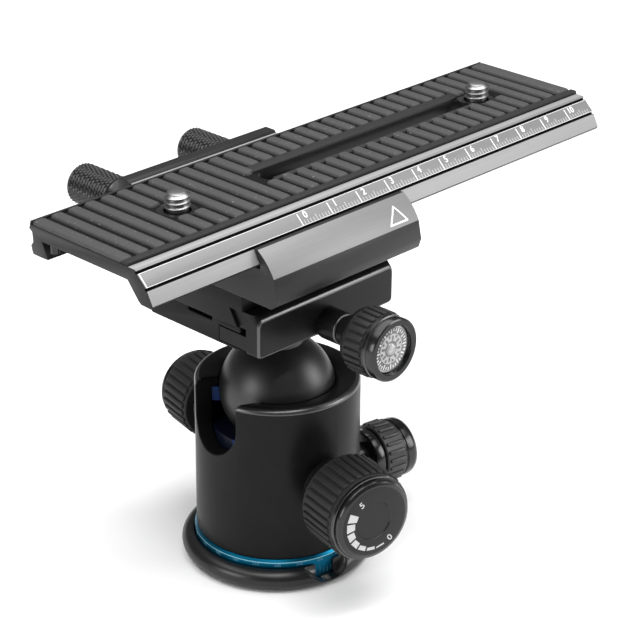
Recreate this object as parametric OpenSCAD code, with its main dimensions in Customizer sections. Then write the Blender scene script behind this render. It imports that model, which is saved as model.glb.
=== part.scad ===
// Macro focusing rail on its quick-release clamp and ball head.
// Millimetres. The origin is the centre of the base's underside, +X runs along the rail and +Z is up.
// The focusing scale and the clamp's jaw face -Y, and the rail's two thumb knobs face +Y.

/* [Base] */
// Outer radius of the base flange
base_r = 24.6; // [23.5:0.1:30]
// Height of the flange's rounded rim
base_h = 5.5; // [4.5:0.1:6.5]
// Thickness of the flange's floor
base_floor = 1.4; // [1:0.1:2]
// Radius of the pan spindle
spindle_r = 12; // [10.5:0.1:12.5]
// Radius of the tripod thread
tripod_r = 4.76; // [3.175:0.005:5]
// Depth of the tripod thread
tripod_depth = 11.5; // [6:0.5:12]
// Radius of the window that shows the pan scale
window_r = 6.4; // [4:0.1:7]
// Direction of that window, measured round the head
window_az = 258; // [0:1:359]

/* [Ball housing] */
// Outer radius of the housing
shell_r = 20.75; // [20:0.05:22]
// Height of the housing's underside
shell_z = 7.7; // [7:0.1:9]
// Height of the housing's rim
rim_z = 49.3; // [48.5:0.1:50]
// Radius of the housing's bore
chamber_r = 16.5; // [16.2:0.1:17.5]
// Radius where the rim's inner slope starts
rim_slope_r = 19.2; // [17.5:0.1:19.3]
// Rounding of the rim's outer edge
rim_round = 1.2; // [0.5:0.1:1.4]
// Direction of the drop notch
notch_az = 171; // [150:1:190]
// Width of the drop notch
notch_w = 17; // [16.6:0.1:18]
// Height of the notch's floor
notch_z = 33.5; // [32:0.5:34]
// Outer radius of the pan scale ring
ring_r = 21.2; // [20.8:0.1:21.3]
// Top of the bearing block inside the housing
block_top = 20; // [19:0.5:21]
// Depth of the liner round the ball, below the rim's lip
liner_h = 9; // [7:0.5:9.5]
// Width of the lip that keeps the ball in
lip_h = 3.3; // [2.8:0.1:3.6]

/* [Ball] */
// Radius of the ball
ball_r = 14.6; // [13.5:0.1:14.8]
// Height of the ball's centre
ball_z = 45.5; // [45:0.1:46]
// Radius of the stem's neck
neck_r = 6.5; // [5:0.1:7]
// Radius of the stem's seat under the clamp
seat_r = 8; // [7:0.1:8.2]
// Thickness of the stem's seat
seat_h = 3; // [2:0.1:4]
// Radius of the stem's spigot inside the ball
spigot_r = 4; // [3:0.1:5]

/* [Ball head knobs] */
// Direction of the main lock knob; the friction knob is opposite
main_az = 257.5; // [245:0.5:270]
// Height of the main and friction knobs' axis
main_z = 28; // [27.5:0.1:28.4]
// Radius of the main and friction knobs' screws
main_screw_r = 4; // [3:0.1:4]
// Distance from the head's axis to the back of the main knob's grip
main_back = 28; // [26:0.1:30]
// Length of the main knob's grip
main_len = 12.4; // [8:0.1:16]
// Radius of the main knob's grip
main_r = 11.5; // [10:0.1:13]
// Height of the main knob's cap
main_cap_h = 2.4; // [1.5:0.1:4]
// Radius of the main knob's cap
main_cap_r = 10.3; // [8.5:0.1:10.6]
// Number of ribs round the main knob
main_ribs = 34; // [20:1:44]
// Distance from the head's axis to the back of the friction knob's grip
friction_back = 29.3; // [27:0.1:31]
// Length of the friction knob's grip
friction_len = 11.8; // [8:0.1:14]
// Radius of the friction knob's grip
friction_r = 10.5; // [9:0.1:11.5]
// Height of the friction knob's cap
friction_cap_h = 1.9; // [1.2:0.1:3]
// Direction of the pan lock knob
pan_az = 350; // [335:1:360]
// Height of the pan lock knob's axis
pan_z = 16.3; // [15.5:0.1:16.5]
// Radius of the pan lock screw
pan_screw_r = 2.5; // [2:0.1:2.5]
// Distance from the head's axis to the back of the pan knob's grip
pan_back = 29.9; // [28:0.1:32]
// Length of the pan knob's grip
pan_len = 6.3; // [4:0.1:9]
// Radius of the pan knob's grip
pan_r = 8.4; // [7:0.1:8.8]
// Height of the pan knob's end ring
pan_cap_h = 3.9; // [2:0.1:5]
// Radius of the pan knob's outer end
pan_end_r = 6.6; // [5.5:0.1:7.2]
// Number of ribs round the pan knob
pan_ribs = 22; // [14:1:28]

/* [Quick-release clamp] */
// Length of the clamp along the rail
clamp_len = 46.4; // [42:0.1:50]
// Height of the clamp's underside
clamp_z = 67; // [66.9:0.1:68]
// Distance from the ball axis to the middle of the dovetail, towards +Y
tail_y = 2.5; // [2:0.1:3]
// Half the width of the dovetail's wide side
tail_toe = 13.1; // [12:0.1:14]
// Half the width of the dovetail's narrow side
tail_neck = 10.6; // [9.5:0.1:11.5]
// Height of the dovetail
tail_h = 4.1; // [3.6:0.1:4.6]
// Thickness of the clamp's floor
clamp_floor = 6.4; // [6:0.1:7]
// Distance from the dovetail's middle to the fixed jaw's outer face
fixed_jaw = 19.5; // [18:0.1:22]
// Thickness of the moving jaw
jaw_t = 4.2; // [3.8:0.1:6]
// Travel of the moving jaw
jaw_travel = 3; // [2:0.1:3.2]
// Height of the jaw screw above the clamp's underside
jaw_screw_up = 2; // [1.9:0.05:2.5]
// Radius of the jaw screw
jaw_screw_r = 1.5; // [1.2:0.05:1.6]
// Radius of the jaw's boss round the screw
boss_r = 4; // [3.2:0.1:4.6]
// Length of the jaw's boss
boss_h = 6; // [3:0.1:8]
// Length of the clamp knob's neck
clamp_neck = 5.6; // [3:0.1:7]
// Radius of the clamp knob's grip
clamp_knob_r = 8.3; // [7.5:0.1:9.5]
// Length of the clamp knob's grip
clamp_knob_len = 6.4; // [5:0.1:10]
// Length of the clamp knob's bezel
clamp_bezel_h = 3.5; // [3:0.1:5]
// Radius of the dial in the clamp knob
dial_r = 5.7; // [4.5:0.1:6.2]
// Depth of the dial's seat in the bezel
dial_depth = 1.7; // [1.3:0.1:2]
// Number of ribs round the clamp knob
clamp_ribs = 26; // [16:1:32]

/* [Carriage] */
// Length of the carriage along the rail
carriage_len = 49.5; // [48:0.1:56]
// Length of the dovetail plate under the carriage
plate_len = 48; // [40:0.1:50]
// Half the width of the dovetail plate's top
plate_half = 14.8; // [14:0.1:16]
// Distance of the plate's two screws from its middle
plate_screw_x = 14; // [8:0.5:18]
// Thickness of the dovetail plate above the dovetail
plate_t = 4.5; // [3.5:0.1:5]
// Height of the bar behind the slider, above the carriage's underside
back_h = 17.9; // [17.2:0.1:19]
// Height of the two thumb knobs' axis above the carriage's underside
thumb_up = 8.1; // [7.8:0.1:8.3]
// Position of the drive knob along the rail
drive_x = -17.6; // [-18.5:0.1:-14]
// Position of the lock knob along the rail
lock_x = 18.8; // [14:0.1:19.5]
// Radius of the thumb knobs
thumb_r = 5.35; // [4.5:0.05:5.8]
// Length of the drive knob's knurled part
drive_len = 15; // [10:0.5:20]
// Length of the lock knob's knurled part
lock_len = 14; // [10:0.5:20]
// Length of the thumb knobs' cone
thumb_cone = 6.2; // [4:0.1:8]
// Radius of the pinion's shaft
shaft_r = 1.5; // [1.2:0.05:1.5]
// Radius of the lock screw
lock_screw_r = 2; // [1.5:0.1:2]

/* [Rack and pinion] */
// Tooth module
tooth_m = 0.6; // [0.5:0.05:0.65]
// Number of teeth on the pinion
pinion_teeth = 12; // [11:1:13]
// Pressure angle of the teeth
pressure = 25; // [25:0.5:28]
// Width of the rack and of the pinion
rack_w = 2.8; // [2:0.1:2.9]
// Play between the teeth, measured along the rack
backlash = 0.12; // [0.08:0.01:0.2]

/* [Slider] */
// Length of the sliding plate
slider_len = 158.8; // [150:0.1:180]
// Distance from the ball axis to the plate's left end, in the stored position
slider_left = 57.1; // [56.5:0.1:60]
// Height of the plate's metal top above its underside
slider_t = 3.2; // [2.8:0.1:4]
// Thickness of the rubber on top
rubber_t = 1; // [0.8:0.1:1.5]
// Travel towards +X
travel_right = 30; // [20:1:30]
// Travel towards -X
travel_left = 70; // [40:1:70]
// Width of the long slot
slot_w = 6.6; // [6.45:0.05:7.5]
// Left end of the long slot
slot_x0 = -0.3; // [-5:0.1:5]
// Right end of the long slot
slot_x1 = 75.4; // [60:0.1:75.6]
// Position of the left camera screw
screw_a_x = -27.6; // [-32:0.1:-20]
// Position of the right camera screw
screw_b_x = 79.5; // [79.5:0.1:85]
// Radius of the camera screws
camera_r = 3.175; // [3:0.005:3.2]
// How far the camera screws stand above the rubber
camera_proud = 3.7; // [3:0.1:6]
// Radius of the round hole in the rubber for each camera screw
recess_r = 5; // [4.2:0.1:6]
// Distance between the rubber's grooves
groove_pitch = 4.95; // [4:0.05:6]
// Width of the rubber's grooves
groove_w = 1.3; // [0.8:0.05:2]
// Depth of the rubber's grooves
groove_d = 0.8; // [0.4:0.05:0.9]

/* [Clearances] */
// Play round each turning or sliding pin
running = 0.05; // [0.02:0.01:0.08]
// Gap between pieces that are assembled face to face
seat_gap = 0.1; // [0.05:0.01:0.15]
// Gap along the sliding ways
way_gap = 0.15; // [0.1:0.01:0.2]

/* [Hidden] */
$fn = 64;
eps = 0.01;

// Heights of the stack above the ball head
tail_z = clamp_z + clamp_floor + 2 * seat_gap;
carriage_z = tail_z + tail_h + plate_t + 2 * seat_gap;
thumb_z = carriage_z + thumb_up;
way_z = carriage_z + 14.1;
under_z = way_z + seat_gap;
plate_top = under_z + slider_t;
rubber_top = plate_top + rubber_t;

// Ball head
block_r = chamber_r - running;
block_z = base_floor + 0.2;
disc_z = block_top + 2 * seat_gap;
disc_t = 1.6;
disc_r = spindle_r + 2.5;
socket_r = ball_r + running;
lip_z = rim_z - lip_h;
lip_edge_r = socket_r - 0.1;
friction_az = main_az - 180;
cup_top = lip_z - liner_h - seat_gap;
cup_bore_r = 8;
tip_cut = main_screw_r - 1;
tip_start = chamber_r + 0.7;
pan_tip = block_r - 2.7;
groove_in = 1.2;
ball_flat = ball_z + sqrt(ball_r * ball_r - pow(neck_r + 0.1, 2));

// Clamp
jaw_inner_y = tail_y - tail_toe - 2.2;
jaw_outer_y = jaw_inner_y - jaw_t;
base_front_y = jaw_inner_y + 2;
base_back_y = tail_y + fixed_jaw;
jaw_top = tail_z + tail_h + seat_gap;
jaw_screw_z = clamp_z + jaw_screw_up;
tongue_hold = 5.9;
tongue_len = jaw_travel + tongue_hold;
tongue_h = 3.6;
tongue_z = clamp_z + 0.9;
tongue_x = 5;
jaw_tip_y = base_front_y + 5.8;
knob_y = jaw_outer_y - boss_h - 0.3;
clamp_grip_y = knob_y - clamp_neck;
clamp_bezel_y = clamp_grip_y - clamp_knob_len;
dome_r = 20;
toe_h = 0.3;
floor_groove_w = 8.3;
floor_groove_d = 1.3;

// Sections of the rail, as heights above the carriage's underside or distances from the ball axis
plate_mid = 5.1;
back_in_y = 25;
back_out_y = 29.5;
trough_z = carriage_z + 5.9;
channel_z = carriage_z + 7.1;
back_rail_y = 18.5;
back_rail_w = 4.6;
undercut = 2;
undercut_h = 4;
front_rail_y = -10.5;
front_rail_w = 4;
front_rail_run = 3.5;
front_rail_h = 4.1;
gib_t = 1.6;
gib_gap = 0.2;
gib_y = back_in_y - gib_t - gib_gap;
back_edge = 0.7;
skirt_gap = 0.3;

// The carriage's front jaw, as [distance from the ball axis, height above the carriage's underside]
jaw_foot_y = -22.6;
jaw_lip = [-24.6, 3.2];
jaw_low = [-23.6, 7.8];
jaw_crest = [-18.4, 13.6];
jaw_bulge_r = 15;

// The slider's front edge, as [distance from the ball axis, height above the plate's underside]
front_skirt = [-18.8, -4.1];
skirt_drop = 4.8;
lower_groove = [-17, -0.8];
upper_groove = [-13.9, 2.35];
front_top_y = -13;
slider_back_y = gib_y - gib_gap;
back_skirt_h = 4.1;

// Rack and pinion
pitch_r = tooth_m * pinion_teeth / 2;
pitch_z = thumb_z + pitch_r;
rack_pitch = PI * tooth_m;
rack_y = back_rail_y - back_rail_w - 0.4 - rack_w;
rack_x0 = drive_x - travel_right - 4;
rack_x1 = drive_x + travel_left + 4;
pocket_r = pitch_r + tooth_m + 0.5;

// Camera screws and grooves
head_r = 5.3;
head_h = 2.2;
hole_r = camera_r + 0.125;
captive_r = camera_r - 0.45;
tip_h = 0.5;
stop_r = 1;
stop_h = 2.2;
groove_x0 = 4.5;
band_y = -8.6;
groove_back_y = 21.9;
slot_border = 3.3;
rubber_back_y = slider_back_y - 0.35;
rubber_front_y = front_top_y + 0.4;

// Points of an arc, for outlines with a rounded corner
function arc(cx, cy, r, a0, a1, n = 8) =
    [for (i = [0:n]) [cx + r * cos(a0 + (a1 - a0) * i / n), cy + r * sin(a0 + (a1 - a0) * i / n)]];

// Points of an arc of radius r that bulges outwards between two points
function bulge(p, q, r, n = 6) =
    let (d = q - p, c = norm(d), k = (p + q) / 2 + [-d[1], d[0]] / c * sqrt(r * r - c * c / 4),
         a = atan2(p[1] - k[1], p[0] - k[0]), turn = 2 * asin(c / 2 / r))
    [for (i = [0:n]) k + r * [cos(a + turn * i / n), sin(a + turn * i / n)]];

// Turns a shape drawn along Z so that it points outwards at a height and direction of the head
module outward(az, z) {
    rotate([0, 0, az])
        translate([0, 0, z])
            rotate([0, 90, 0])
                children();
}

// Turns a shape drawn along Z so that it points towards -Y
module forward(x, y, z) {
    translate([x, y, z])
        rotate([90, 0, 0])
            children();
}

// Turns a shape drawn along Z so that it points towards +Y
module backward(x, y, z) {
    translate([x, y, z])
        rotate([-90, 0, 0])
            children();
}

// Extrudes an outline given as [y, z] points along the rail
module along_rail(x0, x1) {
    translate([x0, 0, 0])
        rotate([90, 0, 90])
            linear_extrude(x1 - x0)
                children();
}

// A ring whose outside has straight ribs
module ribbed(r, depth, inner, len, n) {
    steps = [0, 0.5, 0.62, 0.88];
    radii = [r, r, r - depth, r - depth];
    difference() {
        linear_extrude(len)
            polygon([for (i = [0:n - 1], k = [0:3])
                [radii[k] * cos((i + steps[k]) * 360 / n), radii[k] * sin((i + steps[k]) * 360 / n)]]);
        translate([0, 0, -1])
            cylinder(r = inner, h = len + 2);
    }
}

// A solid turned about Z from an outline of [r, z] points
module turned(points) {
    rotate_extrude()
        polygon(points);
}

// The notch that the stem drops into, as a solid to cut with
module notch_cut(w) {
    rotate([0, 0, notch_az]) {
        translate([0, 0, notch_z + notch_w / 2])
            rotate([0, 90, 0])
                cylinder(r = w / 2, h = shell_r + 5);
        translate([0, -w / 2, notch_z + notch_w / 2])
            cube([shell_r + 5, w, rim_z]);
    }
}

// --- Base, fixed to the tripod ---

module base_flange() {
    wall_in = ring_r + 0.3;
    round_r = base_h / 2;
    color("#2b2b2c")
        difference() {
            turned(concat(
                [[spindle_r + seat_gap / 2, 0]],
                arc(base_r - round_r, round_r, round_r, -90, 90, 12),
                [[wall_in, base_h], [wall_in, base_floor], [spindle_r + seat_gap / 2, base_floor]]));
            outward(window_az, shell_z)
                translate([0, 0, ring_r + 0.15])
                    cylinder(r = window_r, h = base_r);
        }
}

module pan_spindle() {
    color("#9a9c9f")
        difference() {
            turned([
                [0, 0], [spindle_r, 0], [spindle_r, pan_z - groove_in - 0.6],
                [spindle_r - groove_in, pan_z - 0.6],
                [spindle_r - groove_in, pan_z + 0.6], [spindle_r, pan_z + groove_in + 0.6],
                [spindle_r, disc_z], [0, disc_z]
            ]);
            translate([0, 0, -1])
                cylinder(r = tripod_r, h = tripod_depth + 1);
            translate([0, 0, tripod_depth + 1])
                cylinder(r = 3, h = disc_z);
        }
}

module retainer_disc() {
    color("#9a9c9f")
        translate([0, 0, disc_z])
            difference() {
                cylinder(r = disc_r, h = disc_t);
                translate([0, 0, -1])
                    cylinder(r = 3.1, h = disc_t + 2);
            }
}

module retainer_screw() {
    color("#6f7174")
        translate([0, 0, disc_z + disc_t])
            difference() {
                union() {
                    cylinder(r = 5.2, h = 2.6);
                    translate([0, 0, -disc_t - 6.5])
                        cylinder(r = 2.95, h = disc_t + 6.5 + eps);
                }
                translate([0, 0, 1])
                    cylinder(r = 2.3, h = 3, $fn = 6);
            }
}

// --- Head, turns on the spindle ---

module ball_housing() {
    color("#1d1d1f")
        difference() {
            rotate_extrude()
                difference() {
                    polygon(concat(
                        [[chamber_r, shell_z], [shell_r, shell_z]],
                        arc(shell_r - rim_round, rim_z - rim_round, rim_round, 0, 90, 6),
                        [[rim_slope_r, rim_z], [chamber_r - 0.1, rim_z - 0.5], [lip_edge_r, rim_z - 1.3],
                         [socket_r - 1, lip_z], [chamber_r, lip_z]]));
                    translate([0, ball_z])
                        circle(r = socket_r, $fn = 128);
                }
            notch_cut(notch_w);
            for (az = [main_az, friction_az])
                outward(az, main_z)
                    cylinder(r = main_screw_r + running, h = shell_r + 5);
            outward(pan_az, pan_z)
                cylinder(r = pan_screw_r + running, h = shell_r + 5);
        }
}

module bearing_block() {
    color("#8d8f92")
        difference() {
            translate([0, 0, block_z])
                cylinder(r = block_r, h = block_top - block_z);
            cylinder(r = spindle_r + running, h = block_top + 1);
            outward(pan_az, pan_z)
                cylinder(r = pan_screw_r + running, h = shell_r);
        }
}

module pan_scale_ring() {
    color("#1b6f9c")
        turned([
            [block_r + running, block_z], [ring_r, block_z], [ring_r, shell_z - 0.7],
            [ring_r - 0.5, shell_z - seat_gap], [block_r + running, shell_z - seat_gap]
        ]);
}

module ball_liner() {
    color("#2f5fb0")
        difference() {
            translate([0, 0, lip_z - liner_h])
                cylinder(r = chamber_r - seat_gap, h = liner_h - seat_gap);
            translate([0, 0, ball_z])
                sphere(r = socket_r, $fn = 128);
            notch_cut(notch_w);
        }
}

module ball_cup() {
    cup_bottom = main_z + 1.5;
    cup_r = chamber_r - seat_gap;
    slope_z = main_z + main_screw_r - tip_start + cup_r + 0.4;
    color("#2f5fb0")
        difference() {
            turned([
                [cup_bore_r, cup_bottom], [cup_r - (slope_z - cup_bottom), cup_bottom], [cup_r, slope_z],
                [cup_r, cup_top], [cup_bore_r, cup_top]
            ]);
            translate([0, 0, ball_z])
                sphere(r = socket_r, $fn = 128);
        }
}

module pan_shoe() {
    color("#b08d3e")
        outward(pan_az, pan_z)
            translate([0, 0, spindle_r - groove_in + 0.15])
                cylinder(r1 = 0.6, r2 = 1.75, h = groove_in + 0.05);
    color("#b08d3e")
        outward(pan_az, pan_z)
            translate([0, 0, spindle_r + 0.2 - eps])
                cylinder(r = pan_screw_r - running, h = pan_tip - spindle_r - 0.3);
}

// --- Knobs on the head ---

// A screw with a conical tip that pushes the cup up
module lock_stud(az, end) {
    color("#a9abad")
        outward(az, main_z)
            turned([
                [0, tip_start - tip_cut], [main_screw_r - tip_cut, tip_start - tip_cut],
                [main_screw_r, tip_start], [main_screw_r, end], [0, end]
            ]);
}

// The turned metal inside a grip, with its shoulder behind it
module knob_core(az, back, len, inner_r, shoulder_r) {
    color("#242426")
        outward(az, main_z)
            turned([
                [main_screw_r + eps, shell_r + 0.5], [shoulder_r - 1.2, shell_r + 0.5],
                [shoulder_r, shell_r + 1.7], [shoulder_r, back - 1.4],
                [shoulder_r + 1.2, back - seat_gap],
                [inner_r, back - seat_gap], [inner_r, back + len - seat_gap],
                [main_screw_r + eps, back + len - seat_gap]
            ]);
}

// The cap on the outer end of a grip, with a step and a rounded edge
module knob_cap(az, start, h, r, step_r) {
    color("#4b4b4d")
        outward(az, main_z)
            translate([0, 0, start])
                turned(concat(
                    [[0, 0], [step_r, 0], [step_r, 0.4 * h], [r, 0.4 * h]],
                    arc(r - 0.4 * h, 0.6 * h, 0.4 * h, 0, 90, 5),
                    [[0, h]]));
}

module main_screw() {
    lock_stud(main_az, main_back + main_len - seat_gap);
}

module main_core() {
    knob_core(main_az, main_back, main_len, main_r - 3, 7);
}

module main_grip() {
    color("#39393b")
        outward(main_az, main_z)
            translate([0, 0, main_back])
                ribbed(main_r, 0.5, main_r - 3 + seat_gap / 2, main_len, main_ribs);
}

module main_cap() {
    knob_cap(main_az, main_back + main_len, main_cap_h, main_cap_r, main_cap_r + 0.6);
}

module friction_screw() {
    lock_stud(friction_az, friction_back + friction_len - seat_gap);
}

module friction_core() {
    knob_core(friction_az, friction_back, friction_len, friction_r - 3, 6.4);
}

module friction_grip() {
    color("#39393b")
        outward(friction_az, main_z)
            translate([0, 0, friction_back])
                ribbed(friction_r, 0.5, friction_r - 3 + seat_gap / 2, friction_len, main_ribs - 4);
}

module friction_cap() {
    knob_cap(friction_az, friction_back + friction_len, friction_cap_h, friction_r - 1, friction_r - 0.6);
}

module pan_screw() {
    color("#a9abad")
        outward(pan_az, pan_z)
            translate([0, 0, pan_tip])
                cylinder(r = pan_screw_r, h = pan_back + pan_len - seat_gap - pan_tip);
}

module pan_core() {
    neck = 4.2;
    collar = pan_r - 1.1;
    inner = pan_r - 2.6;
    color("#2c2c2e")
        outward(pan_az, pan_z)
            turned([
                [pan_screw_r + eps, shell_r + 0.5], [neck, shell_r + 0.5], [neck, pan_back - 3],
                [collar - 0.4, pan_back - 3], [collar, pan_back - 2.6], [collar, pan_back - 0.4],
                [inner, pan_back - 0.4], [inner, pan_back + pan_len - seat_gap],
                [pan_screw_r + eps, pan_back + pan_len - seat_gap]
            ]);
}

module pan_grip() {
    color("#39393b")
        outward(pan_az, pan_z)
            translate([0, 0, pan_back])
                ribbed(pan_r, 0.5, pan_r - 2.6 + seat_gap / 2, pan_len, pan_ribs);
}

module pan_cap() {
    color("#4b4b4d")
        outward(pan_az, pan_z)
            translate([0, 0, pan_back + pan_len])
                turned(concat(
                    [[0, 0], [pan_r - 0.8, 0], [pan_r - 0.8, 0.3], [pan_r - 0.5, 0.5]],
                    bulge([pan_r - 0.6, pan_cap_h / 3], [pan_end_r, pan_cap_h - 0.4], 6),
                    [[pan_end_r - 0.4, pan_cap_h], [0, pan_cap_h]]));
}

// --- Ball and stem ---

module ball() {
    color("#232325")
        difference() {
            translate([0, 0, ball_z])
                sphere(r = ball_r, $fn = 128);
            translate([0, 0, ball_flat])
                cylinder(r = ball_r, h = ball_r);
            translate([0, 0, ball_z])
                cylinder(r = spigot_r + running, h = ball_r);
        }
}

module ball_stem() {
    neck_z = ball_flat + seat_gap;
    color("#232325")
        difference() {
            turned([
                [0, ball_z + 1], [spigot_r, ball_z + 1], [spigot_r, neck_z], [neck_r, neck_z],
                [neck_r, clamp_z - seat_h - (seat_r - neck_r)], [seat_r, clamp_z - seat_h],
                [seat_r, clamp_z], [0, clamp_z]
            ]);
            translate([0, 0, clamp_z - 12])
                cylinder(r = 2.5, h = 13);
        }
}

// --- Quick-release clamp ---

module clamp_base() {
    floor_top = clamp_z + clamp_floor;
    groove_y = tail_y + 0.45 - floor_groove_w / 2;
    color("#1f1f21")
        difference() {
            along_rail(-clamp_len / 2, clamp_len / 2)
                polygon([
                    [base_front_y, clamp_z], [base_back_y - 2, clamp_z], [base_back_y, clamp_z + 2],
                    [base_back_y, jaw_top - 0.9], [base_back_y - 0.9, jaw_top],
                    [tail_y + tail_neck + way_gap, jaw_top],
                    [tail_y + tail_toe + way_gap, tail_z + toe_h],
                    [tail_y + tail_toe + way_gap, floor_top],
                    [groove_y + floor_groove_w, floor_top],
                    [groove_y + floor_groove_w, floor_top - floor_groove_d],
                    [groove_y, floor_top - floor_groove_d], [groove_y, floor_top],
                    [base_front_y, floor_top]
                ]);
            for (side = [-1, 1])
                translate([side > 0 ? tongue_x - 0.2 : -clamp_len, base_front_y - 1, tongue_z - 0.2])
                    cube([clamp_len - tongue_x + 0.2, tongue_len - 0.7, tongue_h + 0.4]);
            forward(0, jaw_tip_y + 0.2, jaw_screw_z)
                cylinder(r = jaw_screw_r + running, h = 20);
            translate([0, 0, clamp_z - 1])
                cylinder(r = 2.6, h = clamp_floor);
            translate([0, 0, floor_top - floor_groove_d - 1.9])
                cylinder(r1 = 2.6, r2 = 4.5, h = 1.9);
            translate([0, 0, floor_top - floor_groove_d - eps])
                cylinder(r = 4.5, h = 2);
        }
}

module clamp_screw() {
    head_z = clamp_z + clamp_floor - floor_groove_d - 0.1;
    color("#8a8c8f")
        difference() {
            union() {
                translate([0, 0, clamp_z - 10])
                    cylinder(r = 2.45, h = head_z - clamp_z + 10);
                translate([0, 0, head_z - 1.8])
                    cylinder(r1 = 2.45, r2 = 4.3, h = 1.8);
            }
            translate([0, 0, head_z - 1.5])
                cylinder(r = 1.5, h = 3, $fn = 6);
        }
}

module clamp_jaw() {
    jaw_z = clamp_z - 0.2;
    color("#1f1f21")
        difference() {
            union() {
                along_rail(-clamp_len / 2, clamp_len / 2)
                    polygon([
                        [jaw_outer_y, jaw_z], [jaw_inner_y, jaw_z], [jaw_inner_y, tail_z - seat_gap],
                        [tail_y - tail_toe - way_gap, tail_z - seat_gap],
                        [tail_y - tail_toe - way_gap, tail_z + toe_h],
                        [tail_y - tail_neck - way_gap, jaw_top],
                        [jaw_outer_y + 1.3, jaw_top], [jaw_outer_y, jaw_top - 1.3]
                    ]);
                for (side = [-1, 1])
                    translate([side > 0 ? tongue_x : -clamp_len / 2, jaw_inner_y - 1, tongue_z])
                        cube([clamp_len / 2 - tongue_x, tongue_len + 1, tongue_h]);
                forward(0, jaw_outer_y + eps, jaw_screw_z)
                    cylinder(r = boss_r, h = boss_h + eps);
            }
            forward(0, 0, jaw_screw_z)
                cylinder(r = jaw_screw_r + running, h = 40);
        }
}

module jaw_screw() {
    color("#a9abad")
        forward(0, jaw_tip_y, jaw_screw_z)
            cylinder(r = jaw_screw_r, h = jaw_tip_y - clamp_bezel_y);
}

module clamp_core() {
    inner = clamp_knob_r - 2.6;
    collar = clamp_knob_r - 0.9;
    end = clamp_neck + clamp_knob_len - seat_gap;
    color("#242426")
        forward(0, knob_y, jaw_screw_z)
            turned([
                [jaw_screw_r + eps, 0], [boss_r - 0.3, 0], [boss_r, 0.3], [boss_r, clamp_neck - 1.9],
                [collar - 0.5, clamp_neck - 1.4], [collar, clamp_neck - 0.9],
                [collar, clamp_neck - seat_gap],
                [inner, clamp_neck - seat_gap], [inner, end], [jaw_screw_r + eps, end]
            ]);
}

module clamp_grip() {
    color("#39393b")
        forward(0, clamp_grip_y, jaw_screw_z)
            ribbed(clamp_knob_r, 0.5, clamp_knob_r - 2.6 + seat_gap / 2, clamp_knob_len, clamp_ribs);
}

module clamp_bezel() {
    h = clamp_bezel_h;
    r = clamp_knob_r - 0.4;
    seat = dial_r + 0.3;
    color("#2a2a2c")
        forward(0, clamp_bezel_y, jaw_screw_z)
            turned([
                [0, 0], [r, 0], [r, 0.8], [r - 0.3, 1], [r - 0.3, 1.3], [r, 1.5], [r - 0.3, h - 0.6],
                [r - 0.8, h], [seat, h], [seat, h - dial_depth], [0, h - dial_depth]
            ]);
}

module dial_face() {
    color("#c9cacb")
        forward(0, clamp_bezel_y - clamp_bezel_h + dial_depth - 0.1, jaw_screw_z)
            difference() {
                cylinder(r = dial_r + 0.2, h = 0.6);
                translate([0, 0, 0.4])
                    cylinder(r = 1.9, h = 1);
            }
}

module dial_lens() {
    color("#dfe3e6")
        forward(0, clamp_bezel_y - clamp_bezel_h + dial_depth - 0.8, jaw_screw_z)
            turned(concat(
                [[0, 0], [dial_r + 0.1, 0]],
                arc(0, 1.1 - dome_r, dome_r, acos((dial_r + 0.1) / dome_r), 90, 6)));
}

// --- Carriage on the clamp ---

module dovetail_plate() {
    top = carriage_z - seat_gap;
    wide_z = tail_z + tail_h + 2 * seat_gap;
    color("#232325")
        difference() {
            along_rail(-plate_len / 2, plate_len / 2)
                polygon([
                    [tail_y - tail_toe, tail_z], [tail_y + tail_toe, tail_z],
                    [tail_y + tail_toe, tail_z + toe_h],
                    [tail_y + tail_neck, wide_z], [tail_y + plate_half, wide_z],
                    [tail_y + plate_half, top],
                    [tail_y - plate_half, top], [tail_y - plate_half, wide_z],
                    [tail_y - tail_neck, wide_z], [tail_y - tail_toe, tail_z + toe_h]
                ]);
            for (side = [-1, 1])
                translate([side * plate_screw_x, tail_y, tail_z - 1]) {
                    cylinder(r = 2.2, h = 15);
                    cylinder(r = 3.8, h = 3.6);
                }
        }
}

module plate_screws() {
    color("#8a8c8f")
        for (side = [-1, 1])
            translate([side * plate_screw_x, tail_y, tail_z + 0.2])
                difference() {
                    union() {
                        cylinder(r = 3.6, h = 2.3);
                        cylinder(r = 1.95, h = carriage_z - tail_z + 4.2);
                    }
                    translate([0, 0, -1])
                        cylinder(r = 1.45, h = 2.6, $fn = 6);
                }
}

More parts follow.
